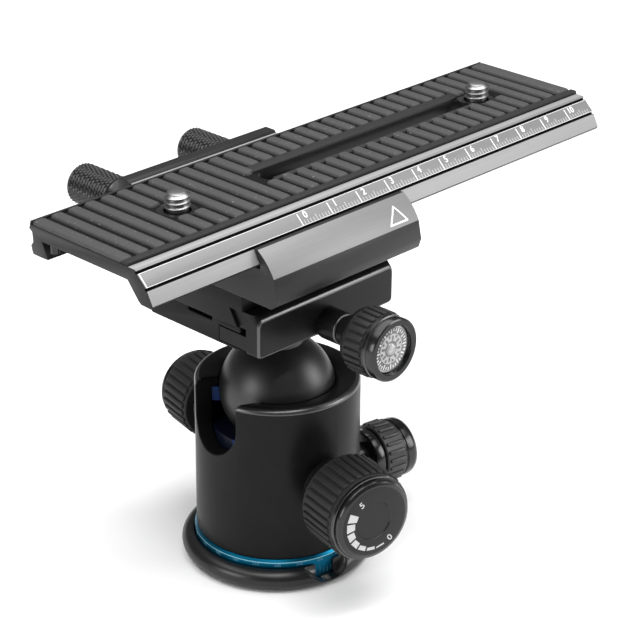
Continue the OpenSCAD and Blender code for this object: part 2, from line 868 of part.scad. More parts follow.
module carriage_body() {
    half = carriage_len / 2;
    z0 = carriage_z;
    back_z = z0 + back_h;
    skirt_floor = under_z - skirt_drop - skirt_gap;
    color("#242527")
        difference() {
            along_rail(-half, half)
                polygon(concat(
                    [[jaw_foot_y, z0], [back_out_y - 1, z0], [back_out_y, z0 + 1],
                     [back_out_y, back_z - back_edge],
                     [back_out_y - back_edge, back_z], [back_in_y + back_edge, back_z],
                     [back_in_y, back_z - back_edge], [back_in_y, trough_z],
                     [back_rail_y - undercut, trough_z],
                     [back_rail_y - undercut, way_z - undercut_h], [back_rail_y, way_z],
                     [back_rail_y - back_rail_w, way_z], [back_rail_y - back_rail_w, channel_z],
                     [front_rail_y + front_rail_w, channel_z], [front_rail_y + front_rail_w, way_z],
                     [front_rail_y, way_z], [front_rail_y - front_rail_run, way_z - front_rail_h],
                     [front_rail_y - front_rail_run, skirt_floor],
                     [front_skirt[0] - skirt_gap, skirt_floor],
                     [front_skirt[0] - skirt_gap, skirt_floor + 0.9],
                     [lower_groove[0] - 0.1, z0 + jaw_crest[1]]],
                    bulge(jaw_crest + [0, z0], jaw_low + [0, z0], jaw_bulge_r),
                    [jaw_lip + [0, z0], [jaw_lip[0] + 0.7, z0 + 0.9]]));
            // pocket for the pinion, its journals and the bush
            backward(drive_x, rack_y - 0.5, thumb_z)
                cylinder(r = pocket_r, h = rack_w + 0.9);
            translate([drive_x - pocket_r, rack_y - 0.5, thumb_z])
                cube([2 * pocket_r, rack_w + 0.9, 10]);
            backward(drive_x, rack_y, thumb_z)
                cylinder(r = shaft_r + running, h = 40);
            backward(drive_x, back_in_y - 1, thumb_z)
                cylinder(r = 2.8, h = 10);
            backward(lock_x, back_in_y - 1, thumb_z)
                cylinder(r = lock_screw_r + running, h = 10);
            for (side = [-1, 1])
                translate([side * plate_screw_x, tail_y, z0 - 1])
                    cylinder(r = 2, h = 6);
        }
}

module gib_strip() {
    half = carriage_len / 2 - 0.3;
    color("#c2c4c6")
        difference() {
            along_rail(-half, half)
                polygon([
                    [gib_y, trough_z + seat_gap], [gib_y + gib_t, trough_z + seat_gap],
                    [gib_y + gib_t, plate_top], [gib_y + 0.7, plate_top], [gib_y, plate_top - 0.7]
                ]);
            backward(drive_x, gib_y - 1, thumb_z)
                cylinder(r = shaft_r + 0.4, h = gib_t + 2);
        }
}

module drive_bush() {
    color("#b08d3e")
        difference() {
            union() {
                backward(drive_x, back_in_y + 0.3, thumb_z)
                    cylinder(r = 2.75, h = back_out_y - back_in_y);
                backward(drive_x, back_out_y + 0.05, thumb_z)
                    cylinder(r = 3.6, h = 0.6);
            }
            backward(drive_x, 0, thumb_z)
                cylinder(r = shaft_r + running, h = 50);
        }
}

module lock_washer() {
    color("#c2c4c6")
        difference() {
            backward(lock_x, back_out_y + 0.05, thumb_z)
                cylinder(r = 3.9, h = 0.9);
            backward(lock_x, 0, thumb_z)
                cylinder(r = lock_screw_r + running, h = 50);
        }
}

// --- Drive and lock knobs ---

// A point of the involute of a base circle, at a distance from the centre
function involute_angle(base, r) =
    let (t = sqrt(max(0, r * r / (base * base) - 1))) t * 180 / PI - atan(t);

// One side of a tooth, from root to tip, as [radius, angle from the tooth's middle]
function tooth_side(n = 5) =
    let (base = pitch_r * cos(pressure), root = pitch_r - 1.25 * tooth_m, tip = pitch_r + tooth_m,
         half = 90 / pinion_teeth - backlash / 4 / pitch_r * 180 / PI + involute_angle(base, pitch_r))
    concat([[root, half + 1]], [for (i = [0:n]) let (r = base + (tip - base) * i / n)
        [r, half - involute_angle(base, r)]]);

module pinion_shaft() {
    side = tooth_side();
    last = len(side) - 1;
    outline = [for (k = [0:pinion_teeth - 1], j = [0:2 * last + 1])
        let (s = j <= last ? side[j] : side[2 * last + 1 - j],
             a = 360 * k / pinion_teeth - 90 + (j <= last ? -s[1] : s[1]))
        [s[0] * cos(a), s[0] * sin(a)]];
    color("#b9bbbd") {
        backward(drive_x, rack_y, thumb_z)
            linear_extrude(rack_w)
                polygon(outline);
        backward(drive_x, rack_y - 0.3, thumb_z)
            cylinder(r = shaft_r, h = back_out_y - rack_y + 0.3 + thumb_cone + 8);
    }
}

// A thumb knob: a cone that widens to a knurled barrel
module thumb_knob(x, y, bore, len) {
    color("#2e2e30")
        difference() {
            backward(x, y, thumb_z)
                turned([
                    [0, 0], [3, 0], [3, 1], [thumb_r - 0.6, thumb_cone], [thumb_r, thumb_cone + 0.4],
                    [thumb_r, thumb_cone + len - 0.6], [thumb_r - 0.6, thumb_cone + len],
                    [0, thumb_cone + len]
                ]);
            backward(x, y - 1, thumb_z)
                cylinder(r = bore + eps, h = thumb_cone + 9);
        }
}

module drive_knob() {
    thumb_knob(drive_x, back_out_y + 0.9, shaft_r, drive_len);
}

module lock_screw() {
    color("#a9abad")
        backward(lock_x, back_in_y - 0.1, thumb_z)
            cylinder(r = lock_screw_r, h = back_out_y - back_in_y + 0.1 + thumb_cone + 8);
}

module lock_knob() {
    thumb_knob(lock_x, back_out_y + 1.1, lock_screw_r, lock_len);
}

// --- Slider ---

// A small groove along the slider's slanted front, from its lower edge to its upper one
function face_groove(p) = [p, p + [0.5, -0.15], p + [0.7, 0.3], p + [0.3, 0.5]];

module slider_plate() {
    z = under_z;
    left = -slider_left;
    back = slider_back_y;
    color("#3c3d3f")
        difference() {
            along_rail(left, left + slider_len)
                polygon(concat(
                    [[front_top_y, plate_top], [rubber_back_y, plate_top], [back, z + 2.1],
                     [back - 1, z + 1.4],
                     [back - 1.2, z - 1], [back - 0.4, z - 2], [back - 0.65, z - 3.2],
                     [back - 1.1, z - back_skirt_h], [back_rail_y + 0.3, z - back_skirt_h],
                     [back_rail_y - undercut + way_gap, z - undercut_h], [back_rail_y + way_gap, z],
                     [front_rail_y - way_gap, z],
                     [front_rail_y - front_rail_run - way_gap, z - front_rail_h],
                     [front_rail_y - front_rail_run - 1, z - skirt_drop + 0.1],
                     [front_skirt[0] + 0.6, z - skirt_drop], front_skirt + [0, z]],
                    face_groove(lower_groove + [0, z]),
                    face_groove(upper_groove + [0, z])));
            translate([0, plate_mid, z - 1])
                hull_slot(slot_x0, slot_x1, slot_w, slider_t + 2);
            for (x = [screw_a_x, screw_b_x])
                translate([x, plate_mid, z - 1])
                    cylinder(r = hole_r, h = slider_t + 2);
            for (x = [rack_x0 + 4, (rack_x0 + rack_x1) / 2, rack_x1 - 4])
                translate([x, rack_y + rack_w / 2, z - 1])
                    cylinder(r = 0.85, h = 3);
        }
}

// A slot with round ends, standing on Z = 0
module hull_slot(x0, x1, w, h) {
    translate([x0 + w / 2, -w / 2, 0])
        cube([x1 - x0 - w, w, h]);
    for (x = [x0 + w / 2, x1 - w / 2])
        translate([x, 0, 0])
            cylinder(r = w / 2, h = h);
}

module rubber_pad() {
    left = -slider_left;
    right = left + slider_len;
    count = floor((slider_len - groove_x0 - groove_w) / groove_pitch);
    groove_z = rubber_top - groove_d;
    color("#5a5a5c")
        difference() {
            translate([left, rubber_front_y, plate_top])
                cube([slider_len, rubber_back_y - rubber_front_y, rubber_t]);
            for (i = [0:count]) {
                x = left + groove_x0 + i * groove_pitch - groove_w / 2;
                w = x + 2 * groove_w > right ? right - x + 1 : groove_w;
                beside_slot = x > slot_x0 - groove_w - 1 && x + groove_w < screw_b_x - 1;
                back_from = beside_slot ? plate_mid + slot_w / 2 + slot_border : plate_mid;
                translate([x, back_from, groove_z])
                    cube([w, groove_back_y - back_from, rubber_t]);
                translate([x, band_y, groove_z])
                    cube([w, plate_mid + eps - band_y, rubber_t]);
            }
            translate([0, plate_mid, plate_top - 1])
                hull_slot(slot_x0, slot_x1, slot_w, rubber_t + 2);
            for (x = [screw_a_x, screw_b_x])
                translate([x, plate_mid, plate_top - 1])
                    cylinder(r = recess_r, h = rubber_t + 2);
        }
}

module rack_strip() {
    root_z = pitch_z + 1.25 * tooth_m;
    tip_z = pitch_z - tooth_m;
    half_root = rack_pitch / 4 + 1.25 * tooth_m * tan(pressure) - backlash / 4;
    half_tip = rack_pitch / 4 - tooth_m * tan(pressure) - backlash / 4;
    first = ceil((rack_x0 - drive_x) / rack_pitch);
    last = floor((rack_x1 - drive_x) / rack_pitch) - 1;
    color("#a9abad")
        difference() {
            translate([0, rack_y + rack_w, 0])
                rotate([90, 0, 0])
                    linear_extrude(rack_w)
                        polygon(concat(
                            [for (k = [first:last], p = [0:3])
                                let (x = drive_x + (k + 0.5) * rack_pitch)
                                [x + [-half_root, -half_tip, half_tip, half_root][p],
                                 [root_z, tip_z, tip_z, root_z][p]]],
                            [[rack_x1, root_z], [rack_x1, under_z], [rack_x0, under_z],
                             [rack_x0, root_z]]));
            for (x = [rack_x0 + 4, (rack_x0 + rack_x1) / 2, rack_x1 - 4])
                translate([x, rack_y + rack_w / 2, tip_z - 1])
                    cylinder(r = 0.85, h = 10);
        }
}

module rack_screws() {
    color("#8a8c8f")
        for (x = [rack_x0 + 4, (rack_x0 + rack_x1) / 2, rack_x1 - 4])
            translate([x, rack_y + rack_w / 2, pitch_z + 1.3 * tooth_m])
                cylinder(r = 0.8, h = under_z + 1.9 - pitch_z - 1.3 * tooth_m);
}

module stop_screws() {
    stop_y = rack_y + rack_w + stop_r + 1.1;
    reach = carriage_len / 2 + stop_r + seat_gap;
    color("#8a8c8f")
        for (x = [-reach - travel_right, reach + travel_left])
            translate([x, stop_y, under_z - stop_h])
                cylinder(r = stop_r, h = stop_h);
}

// A camera screw with a slotted head under the plate, and a thinner shank where it passes through
module camera_screw(x) {
    thread_h = head_h + slider_t + rubber_t + 0.2;
    color("#d5d7d9")
        translate([x, plate_mid, under_z - head_h])
            difference() {
                union() {
                    translate([0, 0, -seat_gap])
                        cylinder(r = head_r, h = head_h);
                    cylinder(r = captive_r, h = thread_h + eps);
                    translate([0, 0, thread_h])
                        cylinder(r = camera_r, h = camera_proud - tip_h - 0.2);
                    translate([0, 0, thread_h + camera_proud - tip_h - 0.2])
                        cylinder(r1 = camera_r, r2 = camera_r - 0.6, h = tip_h);
                }
                translate([-head_r - 1, -0.6, -1])
                    cube([2 * head_r + 2, 1.2, 2.1]);
            }
}

module camera_screw_a() {
    camera_screw(screw_a_x);
}

module camera_screw_b() {
    camera_screw(screw_b_x);
}

base_flange();
pan_spindle();
retainer_disc();
retainer_screw();
ball_housing();
bearing_block();
pan_scale_ring();
ball_liner();
ball_cup();
pan_shoe();
main_screw();
main_core();
main_grip();
main_cap();
friction_screw();
friction_core();
friction_grip();
friction_cap();
pan_screw();
pan_core();
pan_grip();
pan_cap();
ball();
ball_stem();
clamp_base();
clamp_screw();
clamp_jaw();
jaw_screw();
clamp_core();
clamp_grip();
clamp_bezel();
dial_face();
dial_lens();
dovetail_plate();
plate_screws();
carriage_body();
gib_strip();
drive_bush();
lock_washer();
pinion_shaft();
drive_knob();
lock_screw();
lock_knob();
slider_plate();
rubber_pad();
rack_strip();
rack_screws();
stop_screws();
camera_screw_a();
camera_screw_b();
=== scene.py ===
import math

import bmesh
import bpy
from mathutils import Matrix, Vector


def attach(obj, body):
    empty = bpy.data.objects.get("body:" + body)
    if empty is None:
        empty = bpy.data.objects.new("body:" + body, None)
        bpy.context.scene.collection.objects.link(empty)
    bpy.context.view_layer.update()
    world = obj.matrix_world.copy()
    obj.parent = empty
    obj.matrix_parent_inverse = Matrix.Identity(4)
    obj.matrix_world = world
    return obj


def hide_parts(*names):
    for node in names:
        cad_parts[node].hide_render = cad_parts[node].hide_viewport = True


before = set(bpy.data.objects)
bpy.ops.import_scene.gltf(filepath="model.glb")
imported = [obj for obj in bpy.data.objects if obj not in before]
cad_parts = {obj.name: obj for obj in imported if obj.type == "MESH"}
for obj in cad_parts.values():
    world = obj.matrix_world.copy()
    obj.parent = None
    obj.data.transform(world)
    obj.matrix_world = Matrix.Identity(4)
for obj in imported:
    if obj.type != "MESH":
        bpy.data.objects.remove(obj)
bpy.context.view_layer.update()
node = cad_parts

# --- The studio ---
# A pale table under a wide soft light with a narrow strip beside it, and a soft light to the left and right.
# The camera stands to the front left of the rail, looks 26 degrees down on it and leans by half a degree.
EYE = Vector((-0.3351, -0.3352, 0.2912))
FORWARD = Vector((0.6514, 0.6234, -0.4325))
RIGHT = Vector((0.6914, -0.7224, 0.0))
UP = Vector((0.3124, 0.2990, 0.9016))
ROLL = math.radians(0.49)
LENS_MM, FILM_MM, NEAREST = 120.25, 36.0, 0.01
side = RIGHT * math.cos(ROLL) + UP * math.sin(ROLL)
top = UP * math.cos(ROLL) - RIGHT * math.sin(ROLL)
camera = bpy.data.objects.new("camera", bpy.data.cameras.new("camera"))
camera.data.lens = LENS_MM
camera.data.sensor_width = FILM_MM
camera.data.clip_start = NEAREST
camera.matrix_world = Matrix.Translation(EYE) @ Matrix((side, top, -FORWARD)).transposed().to_4x4()
bpy.context.scene.collection.objects.link(camera)
bpy.context.scene.camera = camera
bpy.context.scene.view_settings.view_transform = "Standard"


def soft_light(name, place, target, size, watts):
    """A rectangular soft light, turned towards a point of the object. Lengths are metres."""
    lamp = bpy.data.lights.new(name, "AREA")
    lamp.shape = "RECTANGLE"
    lamp.size, lamp.size_y = size
    lamp.energy = watts
    holder = bpy.data.objects.new(name, lamp)
    holder.location = place
    holder.rotation_euler = (Vector(target) - Vector(place)).to_track_quat("-Z", "Y").to_euler()
    bpy.context.scene.collection.objects.link(holder)


soft_light("light_above", (0.0, 0.0, 1.0), (0.0, 0.0, 0.05), (1.5, 1.3), 20.0)
soft_light("light_strip", (-0.12, -0.22, 0.8), (0.0, 0.0, 0.06), (0.6, 0.1), 2.0)
soft_light("light_left", (-0.75, 0.12, 0.25), (0.0, 0.0, 0.05), (0.34, 0.3), 2.2)
soft_light("light_right", (0.50, -0.55, 0.31), (0.03, 0.0, 0.06), (0.34, 0.4), 3.2)
ROOM_GLOW, ROOM_SEEN = 0.16, 1.0
room = bpy.data.worlds.new("room")
room.use_nodes = True
backdrop = room.node_tree.nodes["Background"]
backdrop.inputs["Color"].default_value = (1.0, 1.0, 1.0, 1.0)
sight = room.node_tree.nodes.new("ShaderNodeLightPath")
shade = room.node_tree.nodes.new("ShaderNodeMapRange")
shade.inputs["To Min"].default_value = ROOM_GLOW
shade.inputs["To Max"].default_value = ROOM_SEEN
room.node_tree.links.new(sight.outputs["Is Camera Ray"], shade.inputs["Value"])
room.node_tree.links.new(shade.outputs["Result"], backdrop.inputs["Strength"])
bpy.context.scene.world = room


class Wire:
    """One output of a shader node. Sums, products and comparisons of wires add Math nodes."""

    def __init__(self, finish, socket):
        self.finish = finish
        self.socket = socket

    def __add__(self, other):
        return self.finish.sum_of("ADD", self, other)

    def __mul__(self, other):
        return self.finish.sum_of("MULTIPLY", self, other)

    def __gt__(self, other):
        return self.finish.sum_of("GREATER_THAN", self, other)

    __radd__ = __add__
    __rmul__ = __mul__


class Finish:
    """A material on one Principled shader, with the one method that adds any other node."""

    def __init__(self, name, **sockets):
        self.material = bpy.data.materials.new(name)
        self.material.use_nodes = True
        self.shader = self.material.node_tree.nodes["Principled BSDF"]
        self.coords = self.node("TexCoord", out="Object")
        self.set(**sockets)

    def node(self, kind, settings=None, sockets=None, out=0):
        made = self.material.node_tree.nodes.new("ShaderNode" + kind)
        for name, value in (settings or {}).items():
            if name == "stops":
                ramp = made.color_ramp.elements
                while len(ramp) < len(value):
                    ramp.new(0.5)
                for stop, (place, shade) in zip(ramp, value):
                    stop.position = place
                    stop.color = (shade, shade, shade, 1.0)
            else:
                setattr(made, name, value)
        self.join(made, sockets or {})
        return Wire(self, made.outputs[out])

    def join(self, made, sockets):
        for name, value in sockets.items():
            if isinstance(value, Wire):
                self.material.node_tree.links.new(value.socket, made.inputs[name])
            else:
                made.inputs[name].default_value = value

    def set(self, **sockets):
        """Sets or feeds the shader's own sockets, such as Base_Color."""
        self.join(self.shader, {name.replace("_", " "): value for name, value in sockets.items()})

    def sum_of(self, operation, *values):
        return self.node("Math", {"operation": operation}, dict(enumerate(values)))

    def mix(self, share, low, high):
        """A colour between two colours."""
        return self.node("Mix", {"data_type": "RGBA"}, {0: share, 6: low, 7: high}, out=2)

    def axis(self, name):
        """The X, Y or Z of a point of the piece, in metres."""
        return self.node("SeparateXYZ", None, {0: self.coords}, out=name)

    def stretched(self, scale):
        """The piece's own coordinates, stretched along its axes."""
        return self.node("Mapping", None, {"Vector": self.coords, "Scale": scale})

    def grain(self, size, detail=3.0, roughness=0.6, along=(1.0, 1.0, 1.0)):
        """Noise from 0 to 1 whose spots are about that size in metres."""
        return self.node("TexNoise", None, {
            "Vector": self.stretched(along), "Scale": 1.0 / size, "Detail": detail, "Roughness": roughness})

    def bump(self, height, depth, strength=1.0):
        """Raises the surface by up to depth metres where height is 1."""
        return self.node("Bump", None, {"Height": height, "Distance": depth, "Strength": strength})


def dress(finish, *names):
    """Puts a finish on CAD nodes that are shown as they are."""
    for name in names:
        node[name].data.materials.clear()
        node[name].data.materials.append(finish.material)


def grey(level, alpha=1.0):
    """A neutral colour of that linear level."""
    return (level, level, level, alpha)


TABLE_HALF, TABLE_DROP = 3.0, 0.0002
floor = bpy.data.objects.new("floor", bpy.data.meshes.new("floor"))
table = bmesh.new()
bmesh.ops.create_grid(table, x_segments=1, y_segments=1, size=TABLE_HALF)
bmesh.ops.translate(table, verts=table.verts, vec=(0.0, 0.0, -TABLE_DROP))
table.to_mesh(floor.data)
table.free()
bpy.context.scene.collection.objects.link(floor)
paper = Finish("paper", Base_Color=grey(0.9), Roughness=0.9)
paper.set(Base_Color=paper.mix(paper.grain(0.4, 1.0), grey(0.9), grey(0.93)))
floor.data.materials.append(paper.material)

# --- The base ---
# A black coated foot with a window for the degree ring, round a turned steel spindle with the tripod thread.
# A disc and its screw on top of the spindle hold the head down, so that it can only turn.
coated_black = Finish("coated_black", Base_Color=grey(0.006), Roughness=0.34, Specular_IOR_Level=0.45)
cloud = coated_black.grain(0.004, 4.0)
coated_black.set(
    Base_Color=coated_black.mix(cloud, grey(0.004), grey(0.008)),
    Roughness=0.3 + cloud * 0.08)
turned_steel = Finish("turned_steel", Base_Color=grey(0.5), Metallic=1.0, Roughness=0.3)
cloud = turned_steel.grain(0.0004, 3.0, along=(1.0, 1.0, 6.0))
turned_steel.set(
    Base_Color=turned_steel.mix(cloud, grey(0.42), grey(0.62)),
    Roughness=0.18 + cloud * 0.18,
    Normal=turned_steel.bump(cloud, 0.00001, 0.3))
METRE = 1000.0  # in millimetres


def finish_piece(name, work, finishes, body, stands_for=(), place=None, crease=30.0):
    """Makes a shape drawn in millimetres into a finished piece that rides on a body."""
    if place is not None:
        bmesh.ops.transform(work, matrix=place, verts=work.verts)
    bmesh.ops.scale(work, vec=(1 / METRE, 1 / METRE, 1 / METRE), verts=work.verts)
    mesh = bpy.data.meshes.new(name)
    work.to_mesh(mesh)
    work.free()
    for finish in finishes:
        mesh.materials.append(finish.material)
    mesh.shade_smooth()
    mesh.set_sharp_from_angle(angle=math.radians(crease))
    made = bpy.data.objects.new(name, mesh)
    bpy.context.scene.collection.objects.link(made)
    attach(made, body)
    if stands_for:
        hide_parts(*stands_for)
    return made


SAME_POINT, FLAT_ANGLE, HARD_ANGLE = 0.002, math.radians(0.6), math.radians(32.0)


def copied(name):
    """A copy of a CAD node in millimetres, with its loose triangles merged."""
    work = bmesh.new()
    work.from_mesh(node[name].data)
    bmesh.ops.scale(work, vec=(METRE, METRE, METRE), verts=work.verts)
    bmesh.ops.remove_doubles(work, verts=work.verts, dist=SAME_POINT)
    return work


def rounded(work, edges, by, segments):
    """Rounds those edges of a shape, and returns the new faces."""
    return bmesh.ops.bevel(work, geom=edges, offset=by, offset_type="OFFSET", affect="EDGES",
                           segments=segments, profile=0.5, material=-1, clamp_overlap=False,
                           loop_slide=False)["faces"]


def edges_eased(name, by, segments=2, only=lambda edge: True):
    """A copy of a CAD node with its hard outer edges rounded, as a deburred piece has them."""
    work = copied(name)
    bmesh.ops.dissolve_limit(work, angle_limit=FLAT_ANGLE, verts=work.verts, edges=work.edges, delimit=set())
    rounded(work, [edge for edge in work.edges
                   if edge.is_convex and edge.calc_face_angle() > HARD_ANGLE and only(edge)], by, segments)
    return work


finish_piece("foot", edges_eased("base_flange", 0.18), [coated_black], "base", ["base_flange"])
dress(turned_steel, "pan_spindle", "retainer_disc", "retainer_screw")

# --- The head ---
# The housing is turned and milled from one black anodised bar, with the notch that the stem drops into.
# A bearing block in it runs on the spindle, and the degree ring under it is blue anodised.
# A blue plastic liner and cup hold the ball, and a brass shoe brakes the pan.
satin_black = Finish("satin_black", Base_Color=grey(0.006), Roughness=0.36, Specular_IOR_Level=0.12)
cloud = satin_black.grain(0.006, 4.0)
satin_black.set(
    Base_Color=satin_black.mix(cloud, grey(0.004), grey(0.009)),
    Roughness=0.30 + cloud * 0.1,
    Normal=satin_black.bump(satin_black.grain(0.00025, 2.0), 0.00001, 0.25))
edge_black = Finish("edge_black", Base_Color=grey(0.012), Roughness=0.3, Specular_IOR_Level=1.0)
edge_black.set(Roughness=0.28 + edge_black.grain(0.004) * 0.08)
blue_anodised = Finish("blue_anodised", Base_Color=(0.01, 0.25, 0.5, 1.0), Metallic=0.9, Roughness=0.3)
cloud = blue_anodised.grain(0.0008, 3.0, along=(1.0, 1.0, 4.0))
blue_anodised.set(
    Base_Color=blue_anodised.mix(cloud, (0.0, 0.075, 0.15, 1.0), (0.002, 0.16, 0.28, 1.0)),
    Roughness=0.25 + cloud * 0.15)
blue_liner = Finish("blue_liner", Base_Color=(0.01, 0.05, 0.2, 1.0), Roughness=0.4, Specular_IOR_Level=0.1)
cloud = blue_liner.grain(0.0012, 3.0)
blue_liner.set(
    Base_Color=blue_liner.mix(cloud, (0.002, 0.014, 0.07, 1.0), (0.004, 0.03, 0.13, 1.0)),
    Roughness=0.35 + cloud * 0.1)
# Painted shade: the cup is blue where Y is below -2.2 mm and fades to near black by -0.4 mm, as the shade
# over the rest of it.
cup_blue_with_painted_shade = Finish("cup_blue_with_painted_shade", Base_Color=(0.012, 0.06, 0.3, 1.0), Roughness=0.4, Specular_IOR_Level=0.2)
cup_blue_with_painted_shade.set(Base_Color=cup_blue_with_painted_shade.mix(
    cup_blue_with_painted_shade.node("MapRange", None, {"Value": cup_blue_with_painted_shade.axis("Y"), "From Min": -0.0022, "From Max": -0.0004}),
    (0.012, 0.075, 0.36, 1.0), (0.002, 0.004, 0.012, 1.0)), Roughness=0.35 + cup_blue_with_painted_shade.grain(0.001) * 0.1)
brass = Finish("brass", Base_Color=(0.6, 0.42, 0.16, 1.0), Metallic=1.0, Roughness=0.3)
brass.set(Roughness=0.25 + brass.grain(0.0006) * 0.2)
faint_paint = Finish("faint_paint", Base_Color=(0.06, 0.2, 0.3, 1.0), Roughness=0.5)
faint_paint.set(Roughness=0.45 + faint_paint.grain(0.0005) * 0.1)
pale_blue = Finish("pale_blue", Base_Color=(0.3, 0.65, 0.75, 1.0), Metallic=0.5, Roughness=0.3)
pale_blue.set(Roughness=0.25 + pale_blue.grain(0.0005) * 0.1)
RIM_LOW, RIM_INNER_R = 47.9, 18.8
shell = edges_eased("ball_housing", 0.35, segments=3)
for face in shell.faces:
    middle = face.calc_center_median()
    if middle.z > RIM_LOW and math.hypot(middle.x, middle.y) > RIM_INNER_R:
        face.material_index = 1
finish_piece("housing", shell, [satin_black, edge_black], "head", ["ball_housing"])
dress(turned_steel, "bearing_block")
dress(blue_anodised, "pan_scale_ring")
dress(cup_blue_with_painted_shade, "ball_cup")
dress(brass, "pan_shoe")


CENTRE, AXLE, STILL, LATHE_WELD = (0.0, 0.0, 0.0), (0.0, 0.0, 1.0), (0.0, 0.0, 0.0), 0.0005


def turned(profile, steps=96, closed=True):
    """A shape turned on a lathe from its outline of (radius, height) points, in millimetres."""
    work = bmesh.new()
    points = [work.verts.new((radius, 0.0, height)) for radius, height in profile]
    pairs = list(zip(points, points[1:])) + ([(points[-1], points[0])] if closed else [])
    outline = [work.edges.new(pair) for pair in pairs]
    bmesh.ops.spin(work, geom=points + outline, cent=CENTRE, axis=AXLE, dvec=STILL, angle=math.tau,
                   steps=steps, use_merge=True, use_duplicate=False)
    bmesh.ops.remove_doubles(work, verts=work.verts, dist=LATHE_WELD)
    bmesh.ops.recalc_face_normals(work, faces=work.faces)
    return work


def joined(work, other):
    """Adds another shape to a shape."""
    carrier = bpy.data.meshes.new("carrier")
    other.to_mesh(carrier)
    other.free()
    work.from_mesh(carrier)
    bpy.data.meshes.remove(carrier)
    return work


def bent(profile, start, sweep, steps=72):
    """A closed section of (radius, height) points carried part of the way round Z, with capped ends."""
    work = bmesh.new()
    points = [work.verts.new((radius, 0.0, height)) for radius, height in profile]
    outline = [work.edges.new(pair) for pair in zip(points, points[1:] + points[:1])]
    bmesh.ops.rotate(work, cent=CENTRE, matrix=Matrix.Rotation(math.radians(start), 3, "Z"), verts=points)
    bmesh.ops.spin(work, geom=points + outline, cent=CENTRE, axis=AXLE, dvec=STILL, angle=math.radians(sweep),
                   steps=steps, use_merge=False, use_duplicate=False)
    bmesh.ops.holes_fill(work, edges=[edge for edge in work.edges if edge.is_boundary], sides=0)
    bmesh.ops.recalc_face_normals(work, faces=work.faces)
    return work


def bar(work, size, centre, turn=None):
    """Adds a square bar of that size to a shape, centred on a point, and returns its corners."""
    place = Matrix.Translation(centre) @ Matrix.Diagonal((*size, 1.0))
    if turn is not None:
        place = turn @ place
    return bmesh.ops.create_cube(work, size=1.0, matrix=place)["verts"]


FONT_SIZE, FONT_WEIGHT, PAINT = 1.45, 0.02, 0.012


def figure(work, number, height, place):
    """Adds a number, as tall as height, drawn in the plane of place and centred on its origin."""
    curve = bpy.data.curves.new("figure", "FONT")
    curve.body = number
    curve.size = height * FONT_SIZE
    curve.extrude = PAINT
    curve.offset = height * FONT_WEIGHT
    curve.align_x = "CENTER"
    curve.align_y = "CENTER"
    holder = bpy.data.objects.new("figure", curve)
    bpy.context.scene.collection.objects.link(holder)
    drawn = bpy.data.meshes.new_from_object(holder.evaluated_get(bpy.context.evaluated_depsgraph_get()))
    drawn.transform(place)
    work.from_mesh(drawn)
    bpy.data.meshes.remove(drawn)
    bpy.data.objects.remove(holder)
    bpy.data.curves.remove(curve)


# The ring's degree marks: fine lines low on its side, seen in the foot's window, and a number at every 15.
RING_R, RING_MARK_FOOT, RING_MARK_W, RING_MARK_T = 21.2, 2.2, 0.12, 0.04
RING_NUMBER_Z, RING_NUMBER_H = 6.3, 0.8
marks = bmesh.new()
for degree in range(0, 360, 3):
    turn = Matrix.Rotation(math.radians(degree), 4, "Z")
    numbered = degree % 15 == 0
    tall = 2.2 if numbered else 1.4
    bar(marks, (RING_MARK_T, RING_MARK_W, tall), (RING_R, 0.0, RING_MARK_FOOT + tall / 2), turn)
    if numbered:
        figure(marks, str(degree), RING_NUMBER_H, turn @ Matrix.Translation((RING_R, 0.0, RING_NUMBER_Z))
               @ Matrix.Rotation(math.pi / 2, 4, "Y") @ Matrix.Rotation(math.pi / 2, 4, "Z"))
finish_piece("ring_marks", marks, [faint_paint], "head")
# The ring's upper edge: a thin pale blue line.
bright_line = turned([(21.18, 6.86), (21.26, 6.86), (21.26, 7.02), (21.18, 7.02)])
finish_piece("ring_edge", bright_line, [pale_blue], "head")
# The liner stops at both sides of the notch, so the ball shows there above a low blue sill.
BALL_Z, SOCKET_R, LINER_R, LINER_LOW, LINER_HIGH = 45.5, 14.72, 16.35, 42.0, 45.8
NOTCH_AZ, NOTCH_SWEEP = 171.0, 66.0
socket = [(math.sqrt(SOCKET_R ** 2 - (height - BALL_Z) ** 2), height)
          for height in (LINER_HIGH, 44.8, 43.8, 42.9, LINER_LOW)]
sleeve = bent(socket + [(LINER_R, LINER_LOW), (LINER_R, LINER_HIGH)], NOTCH_AZ + NOTCH_SWEEP / 2,
              360.0 - NOTCH_SWEEP)
finish_piece("liner", sleeve, [blue_liner], "head", ["ball_liner"])

# --- The knobs on the head ---
# Each is a steel screw in a turned black core, with a ribbed rubber grip pushed over it and a cap on its end.
# The main knob presses the cup to the ball, the friction knob sets its drag, and the small one locks the pan.
polished_black = Finish("polished_black", Base_Color=grey(0.006), Roughness=0.2, Specular_IOR_Level=0.45)
cloud = polished_black.grain(0.003, 3.0)
polished_black.set(
    Base_Color=polished_black.mix(cloud, grey(0.004), grey(0.008)),
    Roughness=0.16 + cloud * 0.1)
grip_rubber = Finish("grip_rubber", Base_Color=grey(0.012), Roughness=0.62, Specular_IOR_Level=0.3)
cloud = grip_rubber.grain(0.0005, 3.0)
grip_rubber.set(
    Base_Color=grip_rubber.mix(cloud, grey(0.008), grey(0.016)),
    Roughness=0.5 + cloud * 0.2,
    Normal=grip_rubber.bump(cloud, 0.00003, 0.5))
shiny_rubber = Finish("shiny_rubber", Base_Color=grey(0.016), Roughness=0.45, Specular_IOR_Level=0.6)
cloud = shiny_rubber.grain(0.0005, 3.0)
shiny_rubber.set(
    Base_Color=shiny_rubber.mix(cloud, grey(0.012), grey(0.024)),
    Roughness=0.38 + cloud * 0.12)
knob_grey = Finish("knob_grey", Base_Color=grey(0.015), Roughness=0.42, Specular_IOR_Level=0.2)
cloud = knob_grey.grain(0.0003, 2.0)
